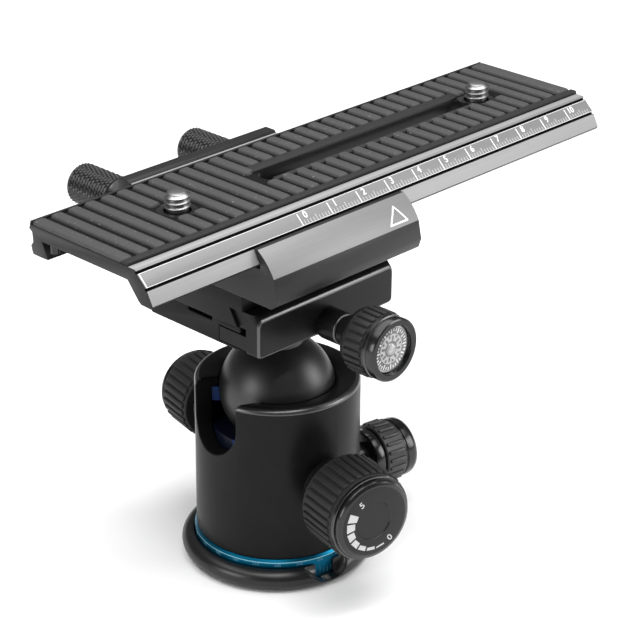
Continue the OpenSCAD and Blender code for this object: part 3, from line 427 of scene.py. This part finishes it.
knob_grey.set(
    Base_Color=knob_grey.mix(cloud, grey(0.011), grey(0.018)),
    Roughness=0.36 + cloud * 0.14,
    Normal=knob_grey.bump(cloud, 0.00001, 0.4))
white_paint = Finish("white_paint", Base_Color=grey(0.5), Roughness=0.5)
cloud = white_paint.grain(0.0003, 3.0)
white_paint.set(
    Base_Color=white_paint.mix(cloud, grey(0.4), grey(0.6)),
    Roughness=0.45 + cloud * 0.15)
RIB_RISE, SLEEVE_BEVEL = 0.55, 0.3


def everything(work):
    """All corners, edges and faces of a shape."""
    return work.verts[:] + work.edges[:] + work.faces[:]


def grip(radius, inner, length, ribs, rib_width, inset, rib_round):
    """A rubber grip: a sleeve with rounded ribs that end a little short of its two ends."""
    foot = radius - RIB_RISE
    sleeve = turned([(inner, 0.0), (foot - SLEEVE_BEVEL, 0.0), (foot, SLEEVE_BEVEL),
                     (foot, length - SLEEVE_BEVEL), (foot - SLEEVE_BEVEL, length), (inner, length)])
    rib = bmesh.new()
    bar(rib, (2 * RIB_RISE, rib_width, length - 2 * inset), (foot, 0.0, length / 2))
    rounded(rib, list(rib.edges), by=rib_round, segments=3)
    bmesh.ops.spin(rib, geom=everything(rib), cent=CENTRE, axis=AXLE, dvec=STILL,
                   angle=math.tau * (ribs - 1) / ribs, steps=ribs - 1, use_merge=False, use_duplicate=True)
    return joined(sleeve, rib)


def outward(azimuth, height, distance=0.0):
    """The place of a knob that points away from the head's axis: its own Z is the knob's axis."""
    return (Matrix.Rotation(math.radians(azimuth), 4, "Z") @ Matrix.Translation((distance, 0.0, height))
            @ Matrix.Rotation(math.pi / 2, 4, "Y"))


MAIN_AZ, MAIN_Z, FRICTION_AZ, PAN_AZ, PAN_Z = 257.5, 28.0, 77.5, 350.0, 16.3
# How far out from the head's axis each grip and cap starts, and the main knob's marks lie.
MAIN_GRIP, MAIN_CAP, MAIN_FACE, FRICTION_GRIP, PAN_GRIP, PAN_CAP = 28.0, 40.4, 42.815, 29.3, 29.9, 36.2
KNOB_EDGE = 0.15
for knob in ("main", "friction", "pan"):
    dress(turned_steel, knob + "_screw")
    finish_piece(knob + "_shoulder", edges_eased(knob + "_core", KNOB_EDGE), [polished_black], knob + "_knob",
                 [knob + "_core"])
for knob, rubber, place, sleeve in (
        ("main", grip_rubber, outward(MAIN_AZ, MAIN_Z, MAIN_GRIP),
         grip(radius=11.5, inner=8.6, length=12.4, ribs=34, rib_width=1.45, inset=0.9, rib_round=0.42)),
        ("friction", grip_rubber, outward(FRICTION_AZ, MAIN_Z, FRICTION_GRIP),
         grip(radius=10.5, inner=7.6, length=11.8, ribs=30, rib_width=1.5, inset=0.9, rib_round=0.42)),
        ("pan", shiny_rubber, outward(PAN_AZ, PAN_Z, PAN_GRIP),
         grip(radius=8.4, inner=5.9, length=6.3, ribs=22, rib_width=1.05, inset=0.6, rib_round=0.45))):
    finish_piece(knob + "_rubber", sleeve, [rubber], knob + "_knob", [knob + "_grip"], place)
finish_piece("friction_end", edges_eased("friction_cap", KNOB_EDGE), [polished_black], "friction_knob",
             ["friction_cap"])
ring = turned([(0.0, 0.0), (7.6, 0.0), (7.6, 0.3), (7.85, 0.5), (7.85, 2.0), (7.7, 2.8), (7.3, 3.45),
               (6.7, 3.8), (6.0, 3.88), (5.4, 3.7), (0.0, 3.7)], closed=False)
finish_piece("pan_end", ring, [polished_black], "pan_knob", ["pan_cap"],
             outward(PAN_AZ, PAN_Z, PAN_CAP))
FLAT, SLOPED = 0.98, 0.3


def end_painted(end, face_low, step_high):
    """Gives a knob's end its finishes: 1 on flat faces above one height, 2 on bevels below another."""
    for face in end.faces:
        middle = face.calc_center_median()
        if middle.z > face_low and face.normal.z > FLAT:
            face.material_index = 1
        elif SLOPED < face.normal.z < FLAT and middle.z < step_high:
            face.material_index = 2
    return end


# The main knob's cap: a stepped rim, a flat face and a shallow round seat in its middle.
cap = turned([(0.0, 0.0), (10.9, 0.0), (10.9, 0.8), (10.75, 0.96), (10.3, 0.96), (10.3, 1.5), (10.1, 1.95),
              (9.5, 2.25), (9.0, 2.4), (4.95, 2.4), (4.8, 2.22), (0.0, 2.22)], closed=False)
finish_piece("main_end", end_painted(cap, face_low=2.0, step_high=1.2),
             [polished_black, knob_grey, edge_black], "main_knob", ["main_cap"],
             outward(MAIN_AZ, MAIN_Z, MAIN_CAP))


def facing(azimuth, height, distance):
    """The place of a mark on a knob's end: X to the right, Y up, Z outwards."""
    turn = math.radians(azimuth)
    out = Vector((math.cos(turn), math.sin(turn), 0.0))
    right = Vector((-math.sin(turn), math.cos(turn), 0.0))
    place = Matrix((right, (0.0, 0.0, 1.0), out)).transposed().to_4x4()
    place.translation = out * distance + Vector((0.0, 0.0, height))
    return place


def round_dial(radius, angle):
    """The point of a dial at that radius and that angle in degrees."""
    return radius * math.cos(math.radians(angle)), radius * math.sin(math.radians(angle)), 0.0


# The tightening scale on it: seven white blocks that narrow towards the 0, with a plain number at each end.
BLOCKS, FIRST_AT, BLOCK_STEP, BLOCK_SWEEP = 7, 150.0, 21.0, 17.0
BLOCK_INNER, BLOCK_THINNER, BLOCK_OUTER, BLOCK_PAINT, DIGIT_H = 5.2, 0.38, 7.9, 0.02, 1.7
wedge = bmesh.new()
for block in range(BLOCKS):
    start = FIRST_AT + block * BLOCK_STEP
    end = start + BLOCK_SWEEP
    low = BLOCK_INNER + block * BLOCK_THINNER
    wedge.faces.new([wedge.verts.new(round_dial(radius, angle)) for radius, angle in
                     ((low, start), (BLOCK_OUTER, start), (BLOCK_OUTER, end), (low, end))])
bmesh.ops.subdivide_edges(wedge, edges=wedge.edges[:], cuts=2, use_grid_fill=True)
bmesh.ops.solidify(wedge, geom=wedge.faces[:], thickness=BLOCK_PAINT)
bmesh.ops.recalc_face_normals(wedge, faces=wedge.faces)
for number, angle, radius in (("5", 124.0, 6.4), ("0", 308.0, 7.4)):
    figure(wedge, number, DIGIT_H, Matrix.Translation(round_dial(radius, angle))
           @ Matrix.Rotation(math.radians(angle - 90.0), 4, "Z"))
finish_piece("main_marks", wedge, [white_paint], "main_knob",
             place=facing(MAIN_AZ, MAIN_Z, MAIN_FACE))

# --- The ball and its stem ---
# A polished ball of black-coated steel, bored for a turned stem of the same finish.
# A screw from above holds the stem to the clamp.
ball_coat = Finish("ball_coat", Base_Color=grey(0.006), Roughness=0.4, Specular_IOR_Level=0.6)
cloud = ball_coat.grain(0.002, 4.0)
ball_coat.set(
    Base_Color=ball_coat.mix(cloud, grey(0.005), grey(0.009)),
    Roughness=0.38 + cloud * 0.06)
dress(ball_coat, "ball", "ball_stem")

# --- The quick-release clamp ---
# A black anodised base with one fixed dovetail jaw, and a moving jaw drawn in by a screw with a ribbed knob.
# The knob carries a small silver compass dial under a clear dome, held by a black bezel.
silver_dial = Finish("silver_dial", Base_Color=grey(0.6), Metallic=0.6, Roughness=0.4)
cloud = silver_dial.grain(0.0004)
silver_dial.set(Base_Color=silver_dial.mix(cloud, grey(0.03), grey(0.75)), Roughness=0.25 + cloud * 0.2)
dark_ink = Finish("dark_ink", Base_Color=grey(0.02), Roughness=0.5)
dark_ink.set(Roughness=0.45 + dark_ink.grain(0.0004) * 0.1)
dial_white = Finish("dial_white", Base_Color=grey(0.8), Roughness=0.4)
dial_white.set(Roughness=0.35 + dial_white.grain(0.0004) * 0.1)
clear_dome = Finish("clear_dome", Base_Color=grey(1.0), Roughness=0.03, Transmission_Weight=1.0, IOR=1.45)
clear_dome.set(Roughness=0.02 + clear_dome.grain(0.002) * 0.02)
finish_piece("clamp_body", edges_eased("clamp_base", 0.3), [satin_black], "clamp", ["clamp_base"])
# The moving jaw: its two outer corners are well rounded, and then the whole rim of its front face is eased.
JAW_END, JAW_INSIDE, JAW_FRONT, SHORT_EDGE = 23.1, -12.7, -16.9, 1.0
outer = edges_eased("clamp_jaw", 1.3, segments=5, only=lambda edge: all(
    abs(vert.co.x) > JAW_END and vert.co.y < JAW_INSIDE for vert in edge.verts)
    and abs(edge.verts[0].co.y - edge.verts[1].co.y) > SHORT_EDGE)
rim = [edge for edge in outer.edges if all(vert.co.y < JAW_FRONT for vert in edge.verts)
       and edge.is_convex and edge.calc_face_angle() > HARD_ANGLE]
for face in rounded(outer, rim, by=0.5, segments=3):
    face.material_index = 1
finish_piece("jaw", outer, [satin_black, edge_black], "moving_jaw", ["clamp_jaw"])
dress(turned_steel, "clamp_screw", "jaw_screw")


def forward(x, y, z):
    """The place of a knob that points towards -Y: its own Z is the knob's axis."""
    return Matrix.Translation((x, y, z)) @ Matrix.Rotation(math.pi / 2, 4, "X")


CLAMP_GRIP_Y, CLAMP_KNOB_Z, CLAMP_BEZEL_Y, CARD_Y, DOME_Y = -28.9, 69.0, -35.3, -37.1, -37.65
finish_piece("clamp_shoulder", edges_eased("clamp_core", KNOB_EDGE), [satin_black], "clamp_knob",
             ["clamp_core"])
rim = turned([(0.0, 0.0), (7.9, 0.0), (7.9, 0.75), (7.6, 0.95), (7.6, 1.3), (7.9, 1.5), (7.9, 3.0),
              (7.78, 3.3), (7.45, 3.5), (6.25, 3.5), (5.98, 3.25), (5.98, 1.8), (0.0, 1.8)], closed=False)
finish_piece("clamp_rim", end_painted(rim, face_low=0.0, step_high=2.5),
             [polished_black, knob_grey, edge_black], "clamp_knob", ["clamp_bezel"],
             forward(0.0, CLAMP_BEZEL_Y, CLAMP_KNOB_Z))
sleeve = grip(radius=8.3, inner=5.75, length=6.4, ribs=26, rib_width=1.35, inset=0.5, rib_round=0.42)
finish_piece("clamp_rubber", sleeve, [grip_rubber], "clamp_knob", ["clamp_grip"],
             forward(0.0, CLAMP_GRIP_Y, CLAMP_KNOB_Z))
# The dial: a silver card with an inked band of white blocks, a ring of petals and a domed pivot.
DIAL_STEPS, PETALS, DIAL_BLOCKS = 72, 16, 36
card = turned([(0.0, 0.0), (5.85, 0.0), (5.85, 0.4), (1.6, 0.4), (1.45, 0.7), (1.05, 0.98), (0.5, 1.08),
               (0.0, 1.1)], DIAL_STEPS, closed=False)
ink = turned([(3.75, 0.39), (5.35, 0.39), (5.35, 0.42), (3.75, 0.42)], DIAL_STEPS)
joined(ink, turned([(1.6, 0.39), (2.0, 0.39), (2.0, 0.43), (1.6, 0.43)], DIAL_STEPS))
for petal in range(PETALS):
    long, middle_r = (1.15, 2.7) if petal % 2 else (0.7, 3.2)
    bar(ink, (long, 0.62, 0.03), (middle_r, 0.0, 0.41),
        Matrix.Rotation(math.tau * (petal + 0.5) / PETALS, 4, "Z"))
blocks = bmesh.new()
for block in range(DIAL_BLOCKS):
    long, middle_r = (0.75, 4.85) if block % 3 else (1.25, 4.6)
    bar(blocks, (long, 0.36, 0.04), (middle_r, 0.0, 0.43),
        Matrix.Rotation(math.tau * block / DIAL_BLOCKS, 4, "Z"))


def painted(work, index):
    """Gives every face of a shape one of its piece's finishes, by number."""
    for face in work.faces:
        face.material_index = index
    return work


joined(card, painted(ink, 1))
joined(card, painted(blocks, 2))
finish_piece("compass_card", card, [silver_dial, dark_ink, dial_white], "clamp_knob", ["dial_face"],
             forward(0.0, CARD_Y, CLAMP_KNOB_Z))
DOME_R, DOME_EDGE_R, DOME_H, DOME_WALL, DOME_RINGS = 20.0, 5.9, 1.2, 0.12, 8
over = [(DOME_R * math.sin(turn), DOME_H - DOME_R * (1.0 - math.cos(turn))) for turn in
        [math.asin(DOME_EDGE_R / DOME_R) * step / DOME_RINGS for step in range(DOME_RINGS + 1)]]
glass = turned(over + [(radius, height - DOME_WALL) for radius, height in reversed(over)], DIAL_STEPS,
               closed=False)
finish_piece("dome", glass, [clear_dome], "clamp_knob", ["dial_lens"],
             forward(0.0, DOME_Y, CLAMP_KNOB_Z))

# --- The carriage ---
# A black dovetail plate screwed under an extruded dark anodised body, whose front jaw is brushed bright.
# A gib strip takes up the play of the slider, and a brass bush in the back bar carries the pinion's shaft.
dark_anodised = Finish("dark_anodised", Base_Color=grey(0.016), Roughness=0.42, Specular_IOR_Level=0.22)
cloud = dark_anodised.grain(0.0006, 3.0, along=(0.05, 1.0, 1.0))
dark_anodised.set(
    Base_Color=dark_anodised.mix(cloud, grey(0.011), grey(0.022)),
    Roughness=0.34 + cloud * 0.14,
    Normal=dark_anodised.bump(cloud, 0.00001, 0.4))
machined = Finish("machined", Base_Color=grey(0.27), Metallic=0.15, Roughness=0.55, Specular_IOR_Level=0.35)
cloud = machined.grain(0.0004, 4.0, along=(0.02, 1.0, 1.0))
machined.set(
    Base_Color=machined.mix(cloud, grey(0.24), grey(0.31)),
    Roughness=0.45 + cloud * 0.14,
    Normal=machined.bump(cloud, 0.00001, 0.3))
brushed = Finish("brushed", Base_Color=grey(0.2), Metallic=0.3, Roughness=0.5)
cloud = brushed.grain(0.0004, 3.0, along=(0.03, 1.0, 1.0))
brushed.set(Base_Color=brushed.mix(cloud, grey(0.185), grey(0.225)), Roughness=0.45 + cloud * 0.1)
RAIL_EDGE, BULGE_OUTSIDE = 0.2, -18.0
jaw_body = edges_eased("carriage_body", RAIL_EDGE)
for face in jaw_body.faces:
    if face.normal.y < -0.4 and face.normal.z > 0.25 and face.calc_center_median().y < BULGE_OUTSIDE:
        face.material_index = 1
finish_piece("carriage_block", jaw_body, [dark_anodised, brushed], "carriage", ["carriage_body"])
finish_piece("dovetail", edges_eased("dovetail_plate", RAIL_EDGE), [satin_black], "carriage",
             ["dovetail_plate"])
dress(machined, "gib_strip")
dress(brass, "drive_bush")
dress(turned_steel, "plate_screws", "lock_washer")


def on_slope(low, high):
    """The place of marks on a face from low up to high: X along the rail, Y up the face, Z outwards."""
    up = (high - low).normalized()
    place = Matrix(((1.0, 0.0, 0.0), up, Vector((1.0, 0.0, 0.0)).cross(up))).transposed().to_4x4()
    place.translation = low
    return place


# The pointer: a triangle drawn in white lines, which follow the round of the jaw.
BULGE_LOW, BULGE_HIGH, BULGE_R = Vector((0.0, -23.6, 90.2)), Vector((0.0, -18.4, 96.0)), 15.0
LINE_W, LINE_T, LINE_LAP, LINE_PROUD = 0.42, 0.04, 0.3, 0.01
corners = [Vector((18.7, 5.3)), Vector((15.3, 1.1)), Vector((21.1, 1.1))]
pointer = bmesh.new()
for start, end in zip(corners, corners[1:] + corners[:1]):
    lean = math.atan2(end.y - start.y, end.x - start.x)
    middle = (start + end) / 2
    bar(pointer, ((end - start).length + LINE_LAP, LINE_W, LINE_T), CENTRE,
        Matrix.Translation((middle.x, middle.y, 0.0)) @ Matrix.Rotation(lean, 4, "Z"))
bmesh.ops.subdivide_edges(pointer, edges=[edge for edge in pointer.edges if edge.calc_length() > 1.0], cuts=8,
                          use_grid_fill=True)
half = (BULGE_HIGH - BULGE_LOW).length / 2
for vert in pointer.verts:
    rise = math.sqrt(BULGE_R ** 2 - (vert.co.y - half) ** 2) - math.sqrt(BULGE_R ** 2 - half ** 2)
    vert.co.z += rise + LINE_PROUD
finish_piece("pointer", pointer, [dial_white], "carriage",
             place=on_slope(BULGE_LOW, BULGE_HIGH))

# --- The drive knob and the lock knob ---
# Two black thumb knobs with a rolled knurl: one turns the steel pinion, the other's screw presses on the gib.
# A bare steel collar shows behind the lock knob.
knurl_black = Finish("knurl_black", Base_Color=grey(0.007), Roughness=0.25, Specular_IOR_Level=0.35)
cloud = knurl_black.grain(0.001, 3.0)
knurl_black.set(
    Base_Color=knurl_black.mix(cloud, grey(0.004), grey(0.010)),
    Roughness=0.22 + cloud * 0.1)
dress(turned_steel, "pinion_shaft", "lock_screw")
KNURL_DEPTH, KNURL_START, KNURL_SHORT, BARREL_BEVEL, NECK_R, NECK_L, DISH = 0.3, 0.6, 1.3, 0.6, 3.0, 1.0, 0.15


def knurled(radius, cone, length, rows, round_count):
    """A thumb knob: a plain cone that widens to a barrel with a knurl of staggered points."""
    end, root, edge = cone + length, radius - KNURL_DEPTH, radius - BARREL_BEVEL
    first, run = cone + KNURL_START, length - KNURL_SHORT
    work = turned([(0.0, 0.0), (NECK_R, 0.0), (NECK_R, NECK_L), (edge, cone), (root, cone + 0.5)]
                  + [(root, first + run * row / rows) for row in range(rows + 1)]
                  + [(edge, end), (radius - 1.2, end), (radius - 1.4, end - DISH), (0.0, end - DISH)],
                  round_count, closed=False)
    for vert in work.verts:
        row = (vert.co.z - first) * rows / run
        if -0.1 < row < rows + 0.1 and math.hypot(vert.co.x, vert.co.y) > root - 0.1:
            column = round(math.atan2(vert.co.y, vert.co.x) / math.tau * round_count)
            if round(row) % 2 == 0 and (column + round(row) // 2) % 2 == 0:
                vert.co.x *= radius / root
                vert.co.y *= radius / root
    return work


def backward(x, y, z):
    """The place of a knob that points towards +Y: its own Z is the knob's axis."""
    return Matrix.Translation((x, y, z)) @ Matrix.Rotation(-math.pi / 2, 4, "X")


THUMB_R, THUMB_CONE, THUMB_POINTS, KNURL_CREASE = 5.35, 6.2, 64, 8.0
DRIVE_PLACE, LOCK_PLACE = backward(-17.6, 30.4, 90.5), backward(18.8, 30.6, 90.5)
barrel = knurled(THUMB_R, THUMB_CONE, length=15.0, rows=28, round_count=THUMB_POINTS)
finish_piece("drive_barrel", barrel, [knurl_black], "drive", ["drive_knob"], DRIVE_PLACE,
             KNURL_CREASE)
collar = turned([(4.2, 4.7), (4.75, 4.7), (4.95, 5.1), (4.95, 5.5), (4.6, 5.7), (4.2, 5.7)], 48)
finish_piece("lock_collar", collar, [turned_steel], "lock", place=LOCK_PLACE)
barrel = knurled(THUMB_R, THUMB_CONE, length=14.0, rows=26, round_count=THUMB_POINTS)
finish_piece("lock_barrel", barrel, [knurl_black], "lock", ["lock_knob"], LOCK_PLACE,
             KNURL_CREASE)

# --- The slider ---
# An extruded dark anodised plate with a milled slot, its front machined bright and ruled in centimetres.
# Its steel rack is screwed on below, with a stop screw at each end, and a ribbed rubber mat is glued on top.
# Painted shade: a near-black finish for the plate's grooves and narrow edge faces.
painted_shade_black = Finish("painted_shade_black", Base_Color=grey(0.002), Roughness=0.6, Specular_IOR_Level=0.05)
painted_shade_black.set(Roughness=0.55 + painted_shade_black.grain(0.0005) * 0.1)
mat_rubber = Finish("mat_rubber", Base_Color=grey(0.075), Roughness=0.7, Specular_IOR_Level=0.3)
cloud = mat_rubber.grain(0.0008, 4.0)
speck = mat_rubber.grain(0.00022, 2.0)
mat_rubber.set(
    Base_Color=mat_rubber.mix(
        mat_rubber.grain(0.0005, 1.0) > 0.76, mat_rubber.mix(cloud, grey(0.036), grey(0.066)), grey(0.3)),
    Roughness=0.55 + cloud * 0.2,
    Normal=mat_rubber.bump(cloud * 0.5 + speck * 0.5, 0.00008, 0.6))
# Painted shade: the sheet between the ribs is near black, as the shade in the grooves.
mat_sheet_painted_shade = Finish("mat_sheet_painted_shade", Base_Color=grey(0.005), Roughness=0.75, Specular_IOR_Level=0.12)
cloud = mat_sheet_painted_shade.grain(0.0008, 4.0)
mat_sheet_painted_shade.set(
    Base_Color=mat_sheet_painted_shade.mix(cloud, grey(0.002), grey(0.009)),
    Roughness=0.6 + cloud * 0.2,
    Normal=mat_sheet_painted_shade.bump(mat_sheet_painted_shade.grain(0.0003, 3.0), 0.00008, 0.6))
# Painted shade: the low bands are painted a darker grey than the ribs, as shade.
mat_band_painted_shade = Finish("mat_band_painted_shade", Base_Color=grey(0.02), Roughness=0.7, Specular_IOR_Level=0.25)
cloud = mat_band_painted_shade.grain(0.0008, 4.0)
mat_band_painted_shade.set(
    Base_Color=mat_band_painted_shade.mix(cloud, grey(0.010), grey(0.028)),
    Roughness=0.55 + cloud * 0.2,
    Normal=mat_band_painted_shade.bump(mat_band_painted_shade.grain(0.0003, 3.0), 0.00008, 0.6))


def cut_at(work, point, direction, keep_beyond=True):
    """Cuts every face of a shape at a plane, and can take away what lies beyond it."""
    bmesh.ops.bisect_plane(work, geom=everything(work), plane_co=point, plane_no=direction,
                           clear_outer=not keep_beyond)


# The plate: bright on its front lip and strip, brushed on the ruled panel, painted shade in the grooves and
# the slot.
PLATE_LEFT, PLATE_L, STRIP_BACK, STRIP_LOW, FRONT_FACES_Y = -57.1, 158.8, -10.9, 99.0, -12.5
PANEL_LOW, PANEL_HIGH, WIDE_FACE = Vector((0.0, -16.7, 96.3)), Vector((0.0, -13.9, 98.95)), 0.55
SLOT_Y, SLOT_HALF, SLOT_START, SLOT_END = 5.1, 3.3, -0.3, 75.4
plate = edges_eased("slider_plate", 0.08)
cut_at(plate, (0.0, STRIP_BACK, 0.0), (0.0, 1.0, 0.0))
for face in plate.faces:
    wide = face.calc_area() / PLATE_L > WIDE_FACE
    middle = face.calc_center_median()
    if face.normal.y < -0.3 and face.normal.z > 0.2 and middle.y < FRONT_FACES_Y and wide:
        face.material_index = 2 if middle.z > PANEL_LOW.z else 1
    elif face.normal.z > 0.9 and middle.y < STRIP_BACK and middle.z > STRIP_LOW:
        face.material_index = 1
    # Painted shade: the narrow front faces get the near-black finish, and the slot's walls the satin black.
    elif face.normal.y < 0.3 and middle.y < FRONT_FACES_Y and not wide and abs(face.normal.x) < 0.5:
        face.material_index = 3
    elif (abs(face.normal.z) < 0.5 and abs(middle.y - SLOT_Y) < SLOT_HALF + 0.3
          and middle.x > PLATE_LEFT + 7.1):
        face.material_index = 4
finish_piece("plate", plate, [dark_anodised, machined, brushed, painted_shade_black, satin_black], "slider",
             ["slider_plate"])
# The rule: a line every millimetre, longer at 5 and 10, a number every centimetre, and a fine border.
ZERO_X, LAST_MARK, LAST_NUMBER, LINE_FOOT, INK_T, BORDER_W = -7.94, 108, 100, 0.1, 0.03, 0.11
NUMBER_X, NUMBER_Y, NUMBER_H, NUMBER_PROUD = 2.2, 2.5, 1.7, 0.005
PANEL_H = (PANEL_HIGH - PANEL_LOW).length
rule = bmesh.new()
small_marks = bmesh.new()
for millimetre in range(LAST_MARK + 1):
    if millimetre % 10 == 0:
        lines, wide, tall = rule, 0.29, 3.2
    else:
        lines, wide, tall = small_marks, 0.17, 1.2 if millimetre % 5 else 1.8
    bar(lines, (wide, tall, INK_T), (ZERO_X + millimetre, LINE_FOOT + tall / 2, 0.0))
    if millimetre % 10 == 0 and millimetre <= LAST_NUMBER:
        figure(rule, str(millimetre // 10), NUMBER_H,
               Matrix.Translation((ZERO_X + millimetre + NUMBER_X, NUMBER_Y, NUMBER_PROUD)))
for height in (0.14, PANEL_H - 0.14):
    bar(rule, (PLATE_L - 0.6, BORDER_W, INK_T), (PLATE_LEFT + PLATE_L / 2, height, 0.0))
bar(rule, (0.3, PANEL_H - 0.2, INK_T), (PLATE_LEFT + 0.5, PANEL_H / 2, 0.0))
finish_piece("rule", joined(rule, painted(small_marks, 1)), [dial_white, white_paint], "slider",
             place=on_slope(PANEL_LOW, PANEL_HIGH))
# The mat: a thin sheet moulded with round-edged ribs, and with a low band along its front, back and slot.
# The ribs stop at the slot and at the holes of the two camera screws.
MAT_RIGHT, MAT_FRONT, MAT_BACK, SHEET_TOP, MAT_TOP, SUNK = 101.7, -11.0, 22.65, 100.0, 100.8, 0.1
RIBS_START, RIBS_END, FIRST_RIB, RIB_PITCH, RIB_GAP, RIB_COUNT = -8.9, 22.1, 4.5, 4.95, 1.6, 31
SCREW_LEFT, SCREW_RIGHT, HOLE_R = -27.6, 79.5, 4.3
mat = copied("rubber_pad")
cut_at(mat, (0.0, 0.0, SHEET_TOP - 0.02), (0.0, 0.0, 1.0), keep_beyond=False)
cut_at(mat, (0.0, MAT_FRONT, 0.0), (0.0, -1.0, 0.0), keep_beyond=False)
bmesh.ops.holes_fill(mat, edges=[edge for edge in mat.edges if edge.is_boundary and
                                 all(vert.co.y < MAT_FRONT + 0.01 for vert in edge.verts)], sides=0)
bmesh.ops.triangle_fill(mat, edges=[edge for edge in mat.edges if edge.is_boundary], use_beauty=True,
                        use_dissolve=False)
bmesh.ops.recalc_face_normals(mat, faces=mat.faces)


def half_gap(left, right):
    """How far the slot and the screw holes reach from the plate's middle line between two X values."""
    widest = 0.0
    for start, end, radius in ((SLOT_START, SLOT_END, SLOT_HALF), (SCREW_LEFT, SCREW_LEFT, HOLE_R),
                               (SCREW_RIGHT, SCREW_RIGHT, HOLE_R)):
        away = max(start - right, left - end, 0.0)
        if away < radius:
            widest = max(widest, math.sqrt(radius ** 2 - away ** 2))
    return widest


ribs = bmesh.new()
high = MAT_TOP - SHEET_TOP + SUNK
slot_front, slot_back = SLOT_Y - SLOT_HALF, SLOT_Y + SLOT_HALF
gaps = ([PLATE_LEFT - RIB_GAP / 2] + [PLATE_LEFT + FIRST_RIB + RIB_PITCH * k for k in range(RIB_COUNT)]
        + [MAT_RIGHT + RIB_GAP / 2])
for before, after in zip(gaps, gaps[1:]):
    left, right = before + RIB_GAP / 2, after - RIB_GAP / 2
    gap = half_gap(left, right)
    beside = SLOT_START - 2.0 < left and right < SCREW_RIGHT
    back_start = slot_back + 3.3 if beside else SLOT_Y + gap
    front_end = slot_front + 0.55 if beside and right < SLOT_END else SLOT_Y - gap
    spans = [(RIBS_START, front_end), (back_start, RIBS_END)] if gap > 0.0 else [(RIBS_START, RIBS_END)]
    for low, far in spans:
        bar(ribs, (right - left, far - low, high), ((left + right) / 2, (low + far) / 2, MAT_TOP - high / 2))
upright = [edge for edge in ribs.edges if abs(edge.verts[0].co.z - edge.verts[1].co.z) > 0.5]
rounded(ribs, upright, by=1.0, segments=4)
crest = [edge for edge in ribs.edges if all(vert.co.z > MAT_TOP - 0.01 for vert in edge.verts)]
rounded(ribs, crest, by=0.78, segments=3)
bands = bmesh.new()
band_top, band_h = MAT_TOP - SUNK, high - SUNK
for low, far, start, end in (
        (MAT_FRONT, RIBS_START - 0.1, PLATE_LEFT, MAT_RIGHT), (RIBS_END, MAT_BACK, PLATE_LEFT, MAT_RIGHT),
        (slot_back, slot_back + 3.2, SLOT_START, SLOT_END),
        (slot_front - 0.9, slot_front + 0.6, SLOT_START + 1.0, SLOT_END - 1.0)):
    bar(bands, (end - start, far - low, band_h), ((start + end) / 2, (low + far) / 2, band_top - band_h / 2))
rounded(bands, list(bands.edges), by=0.25, segments=3)
# Painted shade: the sheet takes the near-black finish and the low bands a darker grey than the ribs.
joined(painted(mat, 1), painted(bands, 2))
finish_piece("mat", joined(mat, ribs), [mat_rubber, mat_sheet_painted_shade, mat_band_painted_shade], "slider", ["rubber_pad"])
dress(turned_steel, "rack_strip", "rack_screws")
dress(polished_black, "stop_screws")

# --- The camera screws ---
# Two bright quarter-inch screws that turn in holes of the slider, each with a slotted head underneath.
# The thread's rounded ridge is rolled round the shank, with a turn every 1.27 mm.
bright_steel = Finish("bright_steel", Base_Color=grey(0.5), Metallic=1.0, Roughness=0.3)
cloud = bright_steel.grain(0.0004, 3.0)
bright_steel.set(Base_Color=bright_steel.mix(cloud, grey(0.25), grey(0.45)), Roughness=0.25 + cloud * 0.14)
# Painted shade: the core between the ridges and the tip are a darker, rougher steel than the ridge.
thread_root_painted_shade = Finish("thread_root_painted_shade", Base_Color=grey(0.24), Metallic=1.0, Roughness=0.4)
thread_root_painted_shade.set(Roughness=0.35 + thread_root_painted_shade.grain(0.0005) * 0.15)
SHANK_R, SHANK_TOP, THREAD_LOW, TIP = 2.55, 100.5, 99.9, 104.5
PITCH, TURNS, TURN_STEPS = 1.27, 2.9, 36


def camera_thread(x):
    """The threaded end of a camera screw, from its shank in the plate to its rounded tip."""
    core = turned([(SHANK_R, THREAD_LOW), (SHANK_R, 103.9), (2.4, 104.2), (2.0, 104.42), (1.3, TIP),
                   (0.0, TIP)], 48, closed=False)
    ridge = bmesh.new()
    section = [ridge.verts.new((radius, 0.0, height)) for radius, height in
               ((2.4, 99.5), (2.4, 100.72), (3.15, 100.16), (3.15, 100.06))]
    loop = [ridge.edges.new(pair) for pair in zip(section, section[1:] + section[:1])]
    steps = int(TURN_STEPS * TURNS)
    bmesh.ops.spin(ridge, geom=section + loop, cent=CENTRE, axis=AXLE, angle=math.tau * TURNS,
                   dvec=(0.0, 0.0, PITCH * TURNS / steps), steps=steps, use_merge=False, use_duplicate=False)
    bmesh.ops.holes_fill(ridge, edges=[edge for edge in ridge.edges if edge.is_boundary], sides=4)
    bmesh.ops.recalc_face_normals(ridge, faces=ridge.faces)
    joined(painted(core, 1), ridge)
    bmesh.ops.translate(core, vec=(x, SLOT_Y, 0.0), verts=core.verts)
    return core


for letter, end_of, x in (("a", "left", SCREW_LEFT), ("b", "right", SCREW_RIGHT)):
    shank = edges_eased("camera_screw_" + letter, 0.08)
    cut_at(shank, (0.0, 0.0, SHANK_TOP), (0.0, 0.0, 1.0), keep_beyond=False)
    bmesh.ops.holes_fill(shank, edges=[edge for edge in shank.edges if edge.is_boundary], sides=0)
    finish_piece("thread_" + end_of, joined(shank, camera_thread(x)), [bright_steel, thread_root_painted_shade],
                 end_of + "_camera_screw", ["camera_screw_" + letter])
